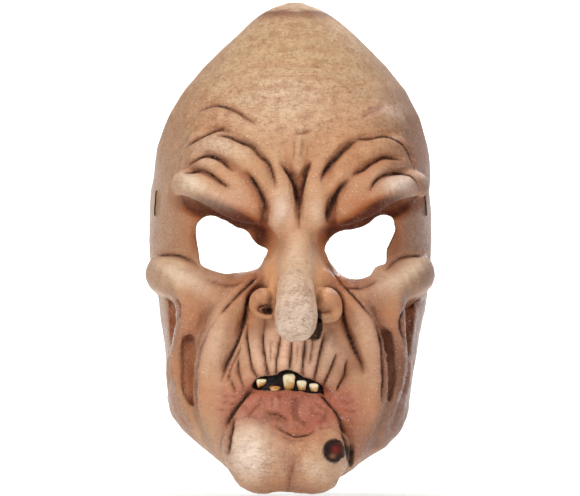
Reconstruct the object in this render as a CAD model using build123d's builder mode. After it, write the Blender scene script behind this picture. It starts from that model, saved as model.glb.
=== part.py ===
from build123d import *
import os
from math import cos, pi, radians, sin

import numpy as np

# Latex halloween mask: a front-of-head grotesque face, slush cast in latex, worn on an elastic band.
# Millimetres. +Z up, +X towards the viewer's right, the face looks along -Y.
# The origin is the point between the wearer's eyes, where the mask sits on the head.

# ---------------------------------------------------------------- driving dimensions
WALL = 2.5            # latex thickness
PATCH_T = 0.8         # gauze reinforcement inside each temple
TAB_T = 1.1           # elastic thickness where it is stapled down
GUM_T = 3.2           # gum plate behind the mouth slot
GAP = 0.10            # glue line between nested pieces

HINGE_Y, HINGE_Z = 38.0, 16.6   # line through both temples about which the band swings
STAPLE_Y = 34.0                 # wire staple through shell, patch and band end
STAPLE_CROWN = 13.0
STAPLE_WIRE = 0.7

BAND_W, BAND_T = 10.0, 1.2      # flat woven elastic
BAND_X = 63.2                   # centre of the band's thickness beside the head
BAND_RUN = 26.0                 # straight run from the hinge line before it curves
BAND_DEPTH = 62.0               # how far the bow stands behind the straight runs
BAND_DROOP = 45.0               # degrees below level that the loose band rests at

# base head: height, half width, front of face, rear rim
HEAD = [
    (-134.5, 15.0, -35.0, -16.0),
    (-132.0, 22.5, -37.0, -12.0),
    (-128.0, 26.5, -35.0, -8.0),
    (-123.0, 30.0, -31.0, -3.0),
    (-117.0, 38.0, -27.0, 4.0),
    (-110.0, 46.5, -24.5, 13.0),
    (-102.0, 55.0, -23.0, 20.0),
    (-93.0, 60.5, -22.0, 27.0),
    (-82.0, 63.0, -20.5, 34.0),
    (-68.0, 64.5, -18.0, 41.0),
    (-52.0, 66.5, -15.0, 47.0),
    (-36.0, 69.3, -11.0, 52.0),
    (-20.0, 72.3, -8.5, 55.0),
    (-4.0, 73.0, -9.0, 56.5),
    (12.0, 72.8, -12.0, 57.5),
    (28.0, 71.8, -13.0, 58.5),
    (45.0, 69.4, -11.0, 59.5),
    (62.0, 63.8, -7.5, 60.5),
    (76.0, 56.0, -2.0, 61.0),
    (89.0, 45.8, 5.5, 61.5),
    (101.0, 33.8, 15.0, 62.0),
    (110.0, 24.5, 25.0, 62.0),
    (117.0, 14.5, 36.0, 62.0),
    (120.5, 6.5, 46.0, 62.0),
]
FULLNESS = 2.2        # exponent of the head's horizontal section

# raised forms: points (x, z), then radius and height at each point
RIDGES = [
    # brows, thick at the temple
    ([(-49, 24), (-40, 20), (-28, 14.5), (-18, 11)], [9.5, 10, 9.5, 8.5], [9, 11, 11, 9]),
    ([(57, 24), (47, 21), (36, 16.5), (27, 12.5)], [9.5, 10, 9.5, 8.5], [9, 11, 11, 9]),
    # knotted root of the nose and the face around its sides
    ([(-4, 20), (-4.5, 8)], [7, 7], [5, 8]),
    ([(11, 20), (12, 8)], [7, 7], [5, 8]),
    ([(3.6, 2), (3, -14), (2.8, -30), (3.2, -42)], [9, 11, 13, 13], [8, 9, 11, 10]),
    # nostril wings
    ([(-15.5, -36), (-14, -39)], [7.5, 7.5], [12, 12]),
    ([(19, -37), (17.5, -40)], [7.5, 7.5], [12, 12]),
    # cheekbones, knobbed at the outer end
    ([(-69, -19), (-58, -23), (-45, -29)], [10.5, 11, 9], [5, 8, 6]),
    ([(69, -18.5), (60, -23), (47, -29)], [10.5, 11, 9], [5, 8, 6]),
    # folds from nose to jaw
    ([(-17, -24), (-33, -45), (-43, -65), (-46, -85), (-43, -102)], [8, 9, 9, 9, 8], [6, 6, 6, 6, 2]),
    ([(22, -26), (39, -46), (49, -66), (51, -85), (47, -102)], [8, 9, 9, 9, 8], [6, 6, 6, 6, 2]),
    # jowls
    ([(-57, -42), (-58, -62), (-56, -82)], [7, 7, 7], [3, 3, 2]),
    ([(58, -42), (58, -62), (56, -82)], [7, 7, 7], [3, 3, 2]),
    # upper lip, lower lip
    ([(-9, -60), (9, -60)], [20, 20], [9, 9]),
    ([(-14, -89), (13, -89)], [12, 12], [9, 9]),
    # two-lobed chin
    ([(-15, -110), (-13, -120)], [15, 15], [17, 14]),
    ([(13, -113), (12, -121)], [14, 14], [16, 13]),
    # wart
    ([(23, -111.5), (23.2, -111.5)], [6.0, 6.0], [5, 5]),
]
# sunk forms
HOLLOWS = [
    ([(-40, -3), (-22, -7)], [18, 15], [4, 5]),
    ([(46, -3), (29, -8)], [18, 15], [4, 5]),
    ([(-22, -80), (-27, -92)], [8, 8], [3, 3]),
    ([(23, -80), (28, -92)], [8, 8], [3, 3]),
]

# nose, level by level: z, x centre, half width, front, back
NOSE = [
    (8, 4.2, 4.5, -22, -8),
    (0, 3.8, 6.0, -26, -8),
    (-9, 3.3, 7.2, -33, -8),
    (-18, 2.7, 8.3, -41.5, -8),
    (-27, 2.6, 9.6, -50.5, -8),
    (-35, 3.0, 10.8, -58, -10),
    (-42, 3.5, 11.3, -62, -13),
    (-47, 3.8, 10.8, -62.5, -21),
    (-51, 4.0, 9.0, -60.5, -34),
    (-54, 4.1, 6.2, -57, -40),
    (-56, 4.1, 2.6, -53, -45),
]

EYE_LEFT = [(-48.6, 3.5), (-45.5, 8.6), (-41.5, 10.1), (-35.5, 8.2), (-28.5, 4.2), (-21.5, 1.6), (-16.6, -5.0),
            (-11.4, -7.8), (-14.0, -13.6), (-20.0, -18.4), (-33.0, -20.1), (-44.0, -17.0), (-48.4, -11.5)]
EYE_RIGHT = [(17.6, -7.6), (22.5, -0.5), (32.0, 3.4), (39.0, 5.6), (45.0, 9.6), (51.0, 10.3), (54.5, 2.4),
             (50.4, -8.0), (49.6, -14.8), (43.0, -18.0), (40.5, -21.0), (32.5, -23.0), (25.0, -19.5), (20.0, -13.0)]
MOUTH = [(-22.0, -83.5), (-16.5, -75.8), (-9.0, -73.2), (-4.5, -72.0), (0.0, -71.0), (4.0, -73.0), (10.0, -75.4),
         (17.0, -79.5), (21.0, -85.0), (14.0, -81.6), (6.0, -80.4), (-3.0, -80.0), (-12.0, -80.6)]

# teeth: name, x centre, gum-side z, biting z, width at gum, width at biting edge
TEETH = [
    ("upper_tooth_corner", -15.0, -72.0, -78.4, 5.6, 3.2),
    ("upper_tooth_long", -0.7, -69.5, -80.4, 7.4, 5.6),
    ("upper_tooth_middle", 5.8, -71.5, -80.2, 5.6, 4.4),
    ("upper_tooth_small", 11.9, -72.5, -80.9, 5.4, 3.6),
    ("lower_tooth", -7.6, -86.0, -78.8, 6.0, 6.0),
]


# ---------------------------------------------------------------- the face as a displaced head
def head_at(z):
    cols = list(zip(*HEAD))
    return tuple(np.interp(z, cols[0], c) for c in cols[1:])


def base(t, z):
    """Points on the base head and their outward normals in the horizontal plane; t runs from -1, left rim, to 1."""
    w, front, rim = head_at(z)
    c, s = np.cos(t * pi / 2), np.sin(t * pi / 2)
    k = (np.abs(c) ** FULLNESS + np.abs(s) ** FULLNESS) ** (-1 / FULLNESS)
    d = rim - front
    x, y = w * s * k, rim - d * c * k
    gx = (np.abs(x) / w) ** (FULLNESS - 1) / w * np.sign(x)
    gy = -((np.abs(rim - y) / d) ** (FULLNESS - 1)) / d
    n = np.hypot(gx, gy)
    return x, y, gx / n, gy / n


def front_y(x, z):
    w, front, rim = head_at(z)
    r = min(abs(x) / w, 0.999)
    return rim - (rim - front) * (1 - r**FULLNESS) ** (1 / FULLNESS)


def near(points, radii, heights, p):
    """Height of one rounded form at the points p: a tapering capsule lying on the base head."""
    best = np.zeros(len(p))
    line = [np.array((x, front_y(x, z), z)) for x, z in points]
    for i in range(len(points) - 1):
        a, e = line[i], line[i + 1] - line[i]
        t = np.clip((p - a) @ e / (e @ e), 0, 1)
        r = radii[i] + (radii[i + 1] - radii[i]) * t
        h = heights[i] + (heights[i + 1] - heights[i]) * t
        d = np.linalg.norm(p - a - e * t[:, None], axis=1) / r
        u = np.clip(1 - (d / 1.25) ** 2, 0, 1)
        best = np.maximum(best, h * np.minimum(1.0, 1.15 * u**0.85))
    return best


def relief(x, y, z):
    p = np.stack([x, y, np.full(len(x), float(z))], axis=1)
    up = np.sqrt(sum(near(*ridge, p) ** 2 for ridge in RIDGES))
    down = np.max([near(*hollow, p) for hollow in HOLLOWS], axis=0)
    return up - down * np.clip(1 - up / 6, 0, 1)


def section(z, inset, samples=56):
    """Points of the horizontal section at z, set in from the outer skin by inset."""
    u = np.linspace(-1, 1, samples + 1)
    t = u * (0.78 + 0.22 * u * u)      # closer together at the front
    x, y, nx, ny = base(t, z)
    fade = np.minimum(1.0, (1 - np.abs(t)) / 0.10)
    if inset == 0:
        h = relief(x, y, z) * fade
    else:
        m = 0.7 * inset
        tries = [(0, 0), (inset, 0), (-inset, 0), (0, inset), (0, -inset), (m, m), (-m, m), (m, -m), (-m, -m)]
        h = np.min([relief(x - ny * p, y + nx * p, z + q) for p, q in tries], axis=0) * fade - inset
    return [(float(px), float(py)) for px, py in zip(x + nx * h, y + ny * h)]


def skin(levels, inset):
    """Faces of the head's horizontal sections set in by inset, open at the rear when inset is not zero."""
    faces = []
    for z in levels:
        pts = section(z, inset)
        with BuildSketch(Plane.XY.offset(z)) as cut:
            with BuildLine():
                Spline(*pts)
                if inset == 0:
                    Line(pts[-1], pts[0])
                else:
                    Polyline(pts[-1], (pts[-1][0], pts[-1][1] + 14), (pts[0][0], pts[0][1] + 14), pts[0])
            make_face()
        faces.append(cut.sketch)
    return faces


def nose_solid(inset):
    with BuildPart() as nose:
        for z, x, half, front, back in NOSE:
            if inset and not -52 < z < 4:
                continue
            rear = 2 if inset else back
            with BuildSketch(Plane.XY.offset(z)):
                with Locations((x, (front + inset + rear) / 2)):
                    Ellipse(half - inset, (rear - front - inset) / 2)
        loft()
    return nose.part


# ---------------------------------------------------------------- latex shell
OUTER_LEVELS = [-134.5, -133, -130, -126.5, -122, -117, -112, -107, -102, -97.5, -93, -88.5, -85, -82, -78.5, -74,
                -69, -64, -60, -57.2, -54.5, -50, -45.5, -41, -36, -31, -26.5, -22, -17.5, -13, -8, -3, 2, 7, 12, 17,
                22, 27, 32, 38, 45, 53, 62, 69, 76, 82.5, 89, 95, 101, 105.5, 110, 114, 117, 119.2, 120.5]
INNER_LEVELS = [z for z in OUTER_LEVELS if -131 < z < 118]

os.makedirs("parts", exist_ok=True)

nose_hollow = nose_solid(WALL)
nose_outside = nose_solid(0)

with BuildPart() as cavity:
    loft(sections=skin(INNER_LEVELS, WALL), ruled=True)
    add(nose_hollow)

with BuildPart() as shell:
    loft(sections=skin(OUTER_LEVELS, 0), ruled=True)
    add(nose_outside)
    add(cavity.part, mode=Mode.SUBTRACT)
    for outline in (EYE_LEFT, EYE_RIGHT):
        with BuildSketch(Plane.XZ.offset(40)):
            with BuildLine():
                Spline(*outline, periodic=True)
            make_face()
        extrude(amount=-78, mode=Mode.SUBTRACT)
    with BuildSketch(Plane.XZ.offset(60)):
        with BuildLine():
            Polyline(*MOUTH, close=True)
        make_face()
    extrude(amount=-62, mode=Mode.SUBTRACT)
    # nostrils
    for x, z in ((-12.6, -39.5), (16.2, -43.0)):
        with BuildSketch(Plane.XZ.offset(60)):
            with Locations((x, z)):
                Circle(2.3)
        extrude(amount=-62, mode=Mode.SUBTRACT)
shell.part.label = "latex_face_shell"
export_step(shell.part, "parts/latex_face_shell.step")


# ---------------------------------------------------------------- pieces that lie on the inside of the shell
def lining(levels, outer_inset, thickness, outline, depth):
    """A sheet that follows the inside of the shell, cut to an outline."""
    with BuildPart() as face_side:
        loft(sections=skin(levels, outer_inset), ruled=True)
    with BuildPart() as head_side:
        loft(sections=skin(levels, outer_inset + thickness), ruled=True)
    with BuildPart() as sheet:
        extrude(outline, amount=depth)
        add(face_side.part, mode=Mode.INTERSECT)
        add(head_side.part, mode=Mode.SUBTRACT)
    return sheet.part


temple = [z for z in INNER_LEVELS if -4 < z < 39]
for side, name in ((-1, "left"), (1, "right")):
    plane = Plane(origin=(0, 0, 0), x_dir=(0, side, 0), z_dir=(side, 0, 0))

    with BuildSketch(plane) as patch_outline:
        with Locations((side * (STAPLE_Y + 3), HINGE_Z)):
            RectangleRounded(22, 28, 4)
    patch = lining(temple, WALL + GAP, PATCH_T, patch_outline.sketch, 80)
    patch.label = f"{name}_temple_patch"
    export_step(patch, f"parts/{name}_temple_patch.step")

    with BuildSketch(plane) as tab_outline:
        with Locations((side * (STAPLE_Y - 0.5), HINGE_Z)):
            RectangleRounded(11, BAND_W, 1.5, rotation=-side * BAND_DROOP)
    tab = lining(temple, WALL + PATCH_T + 2 * GAP, TAB_T, tab_outline.sketch, 80)
    tab.label = f"{name}_band_end"
    export_step(tab, f"parts/{name}_band_end.step")

    # wire staple, square to the wall
    along = base(side * np.linspace(0.2, 1, 801), HINGE_Z)
    x, y, nx, ny = (float(v[np.argmin(np.abs(along[1] - STAPLE_Y))]) for v in along)
    half = STAPLE_CROWN / 2
    outside, inside = STAPLE_WIRE / 2 + 0.02, -(WALL + PATCH_T + TAB_T + 3 * GAP + STAPLE_WIRE / 2)
    frame = Plane(origin=(x, y, HINGE_Z), x_dir=(nx, ny, 0), z_dir=(-ny, nx, 0))
    with BuildPart() as staple:
        with BuildLine(frame) as wire:
            sign = 1 if frame.y_dir.Z > 0 else -1
            FilletPolyline((inside, sign * (half - 4.6)), (inside, sign * half), (outside, sign * half),
                           (outside, -sign * half), (inside, -sign * half), (inside, -sign * (half - 4.6)), radius=0.75)
        with BuildSketch(Plane(origin=wire.line @ 0, z_dir=wire.line % 0)):
            Circle(STAPLE_WIRE / 2)
        sweep()
    staple.part.label = f"{name}_staple"
    export_step(staple.part, f"parts/{name}_staple.step")


# ---------------------------------------------------------------- gum plate and teeth
with BuildSketch(Plane.XZ) as gum_outline:
    with Locations((-0.5, -78.0)):
        RectangleRounded(52, 26, 8)
gum = lining([z for z in INNER_LEVELS if -94 < z < -63], WALL + GAP, GUM_T, gum_outline.sketch, 60)
gum.label = "gum_plate"


def skin_y(x, z, inset):
    """Y of the skin set in by inset, at x, on the section at z."""
    pts = section(z, inset, 60)
    for (ax, ay), (bx, by) in zip(pts, pts[1:]):
        if ax <= x <= bx:
            return ay + (by - ay) * (x - ax) / (bx - ax)
    return 0.0


for name, x, z_gum, z_bite, w_gum, w_bite in TEETH:
    seat = skin_y(x, (z_gum + z_bite) / 2, WALL + GAP)      # front of the gum plate here
    thick = 4.4
    y = seat - thick / 2 + 0.9                              # rooted in the plate by about a millimetre
    up = 1 if z_gum > z_bite else -1
    with BuildPart() as tooth:
        with BuildSketch(Plane.XY.offset(z_gum)):
            with Locations((x, y)):
                RectangleRounded(w_gum, thick, 1.3)
        with BuildSketch(Plane.XY.offset(z_bite + up * 2.6)):
            with Locations((x, y)):
                RectangleRounded((w_gum + w_bite) / 2, thick * 0.92, 1.2)
        with BuildSketch(Plane.XY.offset(z_bite)):
            with Locations((x, y + 0.3)):
                RectangleRounded(w_bite, thick * 0.55, 0.9)
        loft()
        add(shell.part, mode=Mode.SUBTRACT)
    crown = tooth.part.solids().sort_by(SortBy.VOLUME)[-1]      # the lip may cut a sliver off the front
    crown.label = name
    export_step(crown, f"parts/{name}.step")
    with BuildPart() as cut_gum:
        add(gum)
        add(crown, mode=Mode.SUBTRACT)
    gum = cut_gum.part
gum.label = "gum_plate"
export_step(gum, "parts/gum_plate.step")


# ---------------------------------------------------------------- elastic band, one flat bow that swings about the temples
droop = radians(BAND_DROOP)
band_plane = Plane(origin=(0, HINGE_Y, HINGE_Z), x_dir=(1, 0, 0), z_dir=(0, sin(droop), cos(droop)))
with BuildPart() as band:
    with BuildSketch(band_plane):
        with BuildLine():
            n = 28
            for grow in (BAND_T / 2, -BAND_T / 2):
                a, b = BAND_X + grow, BAND_DEPTH + grow
                arc = [(-a * cos(pi * i / n), BAND_RUN + b * sin(pi * i / n)) for i in range(n + 1)]
                Spline(*arc, tangents=[(0, 1), (0, -1)])
                Line((-a, 0), (-a, BAND_RUN))
                Line((a, 0), (a, BAND_RUN))
            for s in (-1, 1):
                Line((s * (BAND_X - BAND_T / 2), 0), (s * (BAND_X + BAND_T / 2), 0))
        make_face()
    extrude(amount=BAND_W / 2, both=True)
    # round the two ends about the hinge line
    ends = [e for e in band.edges().filter_by(Axis.X) if abs((e @ 0.5).Y - HINGE_Y) < 12 and e.length < 2]
    fillet(ends, BAND_W / 2 - 0.05)
band.part.label = "elastic_band"
export_step(band.part, "parts/elastic_band.step")
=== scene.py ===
import math

import bpy
import numpy as np
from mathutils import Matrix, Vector


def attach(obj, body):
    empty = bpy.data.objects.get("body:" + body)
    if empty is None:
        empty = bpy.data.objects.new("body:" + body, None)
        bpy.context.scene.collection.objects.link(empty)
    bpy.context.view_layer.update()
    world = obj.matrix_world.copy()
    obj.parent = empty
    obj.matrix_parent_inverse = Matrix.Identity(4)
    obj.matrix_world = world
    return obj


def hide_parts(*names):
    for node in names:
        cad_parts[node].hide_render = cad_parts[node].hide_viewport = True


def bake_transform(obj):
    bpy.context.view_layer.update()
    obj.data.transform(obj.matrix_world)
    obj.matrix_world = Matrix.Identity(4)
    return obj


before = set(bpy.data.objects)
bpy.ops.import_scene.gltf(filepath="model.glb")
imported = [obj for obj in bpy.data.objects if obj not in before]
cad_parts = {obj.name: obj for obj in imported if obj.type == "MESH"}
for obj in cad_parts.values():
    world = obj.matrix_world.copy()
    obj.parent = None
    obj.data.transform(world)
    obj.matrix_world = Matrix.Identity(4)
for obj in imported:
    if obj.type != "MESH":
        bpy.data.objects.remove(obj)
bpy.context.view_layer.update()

RNG = np.random.default_rng(31)
PITCH = 1.0          # mm between samples of the sculpted form
WALL = 2.5                                  # mm of latex
HINGE_Y, HINGE_Z = 38.0, 16.6               # mm, line the elastic band swings about
MM = 0.001

# ------------------------------------------------------------------ the plain head form, in millimetres
HEAD = np.array([  # z, half width, front y, rim y
    (-131.5, 0.3, -14, -12), (-131.0, 7, -17, -11), (-129.5, 15, -20, -8), (-127, 22, -23, -5),
    (-123.5, 30, -25, -1), (-117, 37.5, -25, 5), (-110, 46, -24.5, 13), (-102, 55, -23, 20), (-93, 60.5, -22, 27),
    (-82, 63, -20.5, 34), (-68, 64.5, -18, 41), (-52, 66.5, -15, 47), (-36, 69.3, -11, 52), (-20, 72.3, -8.5, 55),
    (-4, 73, -9, 56.5), (12, 72.8, -12, 57.5), (28, 71.8, -13, 58.5), (45, 69.6, -11, 59.5), (62, 64.2, -7.5, 60.5),
    (76, 56.4, -2, 61), (89, 45.8, 5.5, 61.5), (97, 37.9, 11, 61.8), (104, 30.8, 17.5, 62), (110, 25.0, 24.5, 62),
    (115, 19.0, 31.5, 62), (118.3, 13.5, 38, 62), (120.3, 8.6, 44.5, 62), (121.4, 4.6, 51, 62), (122.0, 0.4, 58, 62)])
FULL = 2.2
_fine = np.arange(-150.0, 150.0, 0.25)
_kernel = np.exp(-0.5 * (np.arange(-16, 17) * 0.25 / 1.6) ** 2)
_kernel /= _kernel.sum()
_smooth = []
for _i in (1, 2, 3):
    _raw = np.interp(_fine, HEAD[:, 0], HEAD[:, _i])
    _pad = np.concatenate([np.full(16, _raw[0]), _raw, np.full(16, _raw[-1])])
    _smooth.append(np.convolve(_pad, _kernel, "valid"))


def head_at(z):
    return [np.interp(z, _fine, column) for column in _smooth]


def centre_at(z):
    return 2.3 * np.clip((np.asarray(z, float) - 45) / 60, 0, 1) ** 1.0


SIDES = np.array([  # z, reach to the viewer's right and left: the head is not quite even
    (-119, 1.0, 1.0), (-110.8, 1.083, 1.0), (-102.4, 1.05, 1.02), (-94, 1.018, 1.035), (-85.8, 1.0, 1.034), (-77.5, 1.0, 1.0), (-52, 1.012, 1.0),
    (-40, 1.026, 1.0), (-27.6, 1.014, 0.99), (-11, 1.014, 1.014), (14, 1.014, 1.014), (22.4, 1.009, 1.014), (30.7, 1.024, 1.0), (39, 1.037, 1.008),
    (55.6, 1.04, 1.012), (72, 1.044, 1.01), (90, 1.047, 1.005), (105, 1.05, 1.005), (114, 1.02, 1.0), (122, 1.0, 1.0),
])


def reach(x, z):
    return np.where(x > centre_at(z), np.interp(z, SIDES[:, 0], SIDES[:, 1]), np.interp(z, SIDES[:, 0], SIDES[:, 2]))


def front(x, z):
    """y of the plain form, seen from the front."""
    a, f, r = head_at(z)
    u = np.clip(np.abs(np.asarray(x, float) - centre_at(z)) / (a * reach(x, z)), 0, 0.992)
    return r - (r - f) * (1 - u ** FULL) ** (1 / FULL)


def outward(x, z):
    e = 0.6
    gx = (front(x + e, z) - front(x - e, z)) / (2 * e)
    gz = (front(x, z + e) - front(x, z - e)) / (2 * e)
    n = np.array([gx, -1.0, gz])
    return n / np.linalg.norm(n)


def on_form(x, z, r, rise):
    """Centre of a ball of radius r whose crest stands rise above the plain form."""
    return np.array([x, float(front(x, z)), z]) + outward(x, z) * (rise - r)


def smooth_line(points, step=2.0):
    """Catmull-Rom through the points; every column is carried along."""
    p = np.array(points, float)
    if len(p) < 3:
        n = max(2, int(np.linalg.norm(p[1, :2] - p[0, :2]) / step) + 1)
        return p[0] + (p[1] - p[0]) * np.linspace(0, 1, n)[:, None]
    q = np.vstack([2 * p[0] - p[1], p, 2 * p[-1] - p[-2]])
    out = []
    for i in range(1, len(q) - 2):
        a, b, c, d = q[i - 1], q[i], q[i + 1], q[i + 2]
        n = max(2, int(np.linalg.norm(c[:2] - b[:2]) / step) + 1)
        t = np.linspace(0, 1, n, endpoint=False)[:, None]
        out.append(0.5 * (2 * b + (c - a) * t + (2 * a - 5 * b + 4 * c - d) * t * t + (3 * b - a - 3 * c + d) * t ** 3))
    out.append(p[-1:])
    return np.vstack(out)


# ------------------------------------------------------------------ masses laid on the form: (x, z, radius, rise)
MASSES = [  # blend, points
    # left brow, its bulb at the outer end, and the folds that stack above it
    (3.0, [(-53.47, 25.79, 7.4, 9.5), (-48.3, 25.79, 7.6, 11), (-41.59, 23.46, 7.8, 12), (-33.32, 19.59, 8.8, 13.5), (-25.57, 15.45, 9.8, 14), (-19.89, 13.9, 8.4, 12.5)]),
    (2.5, [(-52.95, 35.09, 5, 4.5), (-46.75, 37.67, 5.8, 6.5), (-40.04, 35.6, 6.4, 8.5), (-33.32, 30.95, 7, 10.5), (-27.12, 24.75, 7.4, 12), (-21.96, 19.07, 7, 12)]),
    (2.5, [(-53.47, 41.29, 5.4, 3.5), (-48.3, 46.45, 6.6, 5.5), (-40.55, 47.48, 7.2, 7), (-32.81, 45.42, 7.4, 8), (-26.09, 41.29, 7.2, 8.5), (-20.41, 35.09, 6.6, 9), (-15.76, 27.34, 6.2, 9.5), (-12.14, 18.55, 6, 9.5)]),
    (5.0, [(-51.92, 56.27, 8, 1.5), (-44.17, 59.88, 9, 2.5), (-34.87, 60.4, 9, 3), (-26.09, 56.78, 9, 3), (-17.82, 49.03, 8, 3), (-11.62, 40.77, 7, 3.5)]),
    # right brow
    (3.0, [(62.77, 25.79, 7.4, 9.5), (58.12, 26.05, 7.8, 11), (50.89, 24.75, 7.6, 12), (43.14, 21.4, 8.6, 13.2), (34.87, 16.75, 10.4, 14), (28.16, 13.65, 9.6, 13)]),
    (2.5, [(61.74, 35.6, 4.6, 4.5), (55.54, 36.64, 5.4, 6), (48.3, 35.6, 6, 7.5), (40.55, 30.95, 7, 10), (33.32, 24.75, 7.4, 12), (27.64, 18.55, 7, 12)]),
    (2.5, [(61.22, 40.77, 5, 3.5), (55.02, 44.9, 6.4, 6), (46.24, 45.42, 7, 7.5), (37.97, 42.84, 7.2, 8), (30.74, 37.67, 6.8, 8.5), (25.57, 30.44, 6, 9), (21.96, 23.2, 5.4, 9)]),
    (5.0, [(57.6, 55.23, 8, 1.5), (49.34, 58.33, 9, 2.5), (40.04, 57.3, 9, 3), (31.77, 53.17, 8.5, 3), (24.02, 45.42, 7.5, 3), (18.34, 38.7, 7, 3.5)]),
    # columns beside the frown that end in the lobes at the root of the nose
    (3.0, [(-9.56, 39.74, 5.5, 3), (-6.97, 31.99, 6.5, 6), (-5.42, 23.2, 7.6, 8.5), (-4.91, 14.94, 8.2, 10.5), (-4.39, 9.25, 8.2, 11), (-3.36, 4.61, 6.5, 9)]),
    (3.0, [(14.72, 40.77, 5.5, 3), (14.21, 32.5, 6.5, 6), (13.17, 23.2, 7.4, 8.5), (12.66, 14.94, 8.2, 10.5), (12.14, 9.25, 8.2, 11), (11.62, 4.61, 6.5, 9)]),
    (2.5, [(4.91, 53.68, 3.6, 2), (4.39, 48, 4.2, 2.2), (3.36, 40.77, 4.5, 3), (3.87, 34.57, 3.8, 3.4)]),
    # cheekbones with knobbed outer ends
    (5.0, [(-68.45, -21.23, 11.2, 7), (-63.29, -22.26, 11.2, 8.8), (-56.05, -24.84, 10.8, 9.5), (-47.79, -28.46, 10, 8.5), (-39, -32.07, 8.6, 6.5), (-30.22, -35.69, 7, 3)]),
    (5.0, [(67.94, -20.71, 11.2, 7), (62.77, -22.26, 11.2, 8.8), (55.54, -25.36, 10.6, 9.5), (47.27, -28.97, 10, 8.5), (39, -32.59, 8.6, 6.5), (31.26, -35.69, 7, 3)]),
    # lower rims of the eye sockets
    (4.0, [(-47.79, -13.99, 4, 1.5), (-39.52, -21.23, 4.5, 3), (-28.16, -23.81, 4.5, 3.5), (-16.79, -21.74, 4.5, 3.5), (-9.56, -13.99, 4.5, 3)]),
    (4.0, [(52.44, -11.93, 4, 1.5), (46.24, -19.16, 4.5, 3), (35.91, -25.36, 4.5, 3.5), (24.54, -23.29, 4.5, 3.5), (16.27, -15.03, 4.5, 3)]),
    # broad folds from the nose to the jaw
    (4.0, [(-19.89, -23.29, 7, 7), (-26.09, -31.04, 8, 8), (-31.77, -39.82, 8.8, 9), (-36.94, -51.19, 9, 8.5), (-40.55, -63.59, 9, 8), (-42.1, -77.54, 9, 7.5), (-41.59, -90.45, 9, 6.5), (-37.45, -103.88, 9, 4), (-33.32, -113.7, 8, 2)]),
    (4.0, [(19.37, -21.23, 7, 7), (25.57, -29.49, 8, 8), (31.77, -38.27, 8.8, 9), (37.45, -49.64, 9, 8.5), (41.07, -62.56, 9, 8), (42.62, -77.54, 9, 7.5), (41.07, -90.45, 9, 6.5), (36.42, -103.88, 9, 4), (31.77, -113.7, 8, 2)]),
    # jowl folds nearer the jaw line
    (3.5, [(-52.95, -28.46, 9.5, 8.5), (-51.4, -36.72, 10, 7.8), (-52.44, -44.99, 8.5, 6.8), (-55.54, -53.26, 5.6, 5.5), (-58.12, -62.56, 4.6, 4.8), (-58.12, -72.89, 4.6, 4.6), (-55.02, -84.25, 5.4, 4), (-49.85, -97.69, 6, 1.5)]),
    (3.5, [(50.37, -29.49, 9.5, 8.5), (50.89, -37.76, 10, 7.8), (52.44, -46.02, 8.5, 7), (54.5, -55.32, 6.2, 6), (55.54, -64.62, 5.2, 5.4), (55.02, -73.92, 5.2, 5), (51.92, -85.29, 5.6, 4), (47.27, -98.72, 6, 1.5)]),
    (4.0, [(-62.77, -67.72, 5, 1.5), (-61.74, -77.54, 6, 2.2), (-58.12, -88.9, 6, 1.5)]),
    (4.0, [(60.7, -67.72, 5, 1.5), (59.67, -77.54, 6, 2.2), (57.09, -87.87, 6, 1.5)]),
    # muzzle above the mouth, the two lips
    (7.0, [(-14.72, -60.49, 15, 8), (-6.46, -59.46, 16, 10), (1.81, -59.46, 16, 10.5), (10.07, -59.97, 16, 10), (17.82, -61.52, 15, 8)]),
    (5.0, [(-29.19, -86.32, 4, 4.5), (-24.02, -79.09, 5, 6.5), (-17.82, -72.37, 6, 8.5), (-10.59, -69.27, 6.5, 9.4), (-3.36, -68.24, 6.5, 9.8), (3.87, -68.75, 6.5, 9.8), (11.11, -70.3, 6.5, 9.4), (18.34, -74.44, 6, 8.5), (23.51, -80.64, 5, 6.5), (27.64, -87.87, 4, 4.5)]),
    (4.0, [(-26.09, -94.07, 6, 6), (-19.37, -89.42, 8, 9.5), (-10.59, -88.13, 9.0, 12), (-0.77, -87.87, 9.4, 13), (8.52, -88.64, 9.0, 12), (16.27, -91.49, 8, 9.5), (22.99, -96.14, 6, 6)]),
    (4.0, [(-6.46, -91.49, 9, 12.5), (2.84, -95.62, 8.5, 13.2), (10.07, -92.52, 9, 12)]),
    # flesh either side of the mouth
    (5.0, [(-32.29, -77.02, 6, 5), (-33.32, -86.32, 6.5, 5.5), (-35.39, -96.65, 7, 5), (-35.39, -105.95, 7, 3.5)]),
    (5.0, [(31.77, -77.02, 6, 5), (32.81, -86.32, 6.5, 5.5), (33.84, -95.62, 7, 5), (33.84, -104.92, 7, 3.5)]),
    # chin lobes
    (4.0, [(-20.92, -101.82, 11, 13), (-18.34, -109.57, 16, 20), (-14.1, -116.08, 17.5, 20.5)]),
    (4.0, [(17.82, -104.92, 9, 12.5), (14.72, -111.12, 15.5, 18.5), (10.49, -116.18, 17.8, 19.5)]),
    (5.0, [(-2.32, -102.85, 9, 13), (-1.81, -111.12, 11.5, 16), (-0.77, -119.9, 12.0, 15)]),
]

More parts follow.
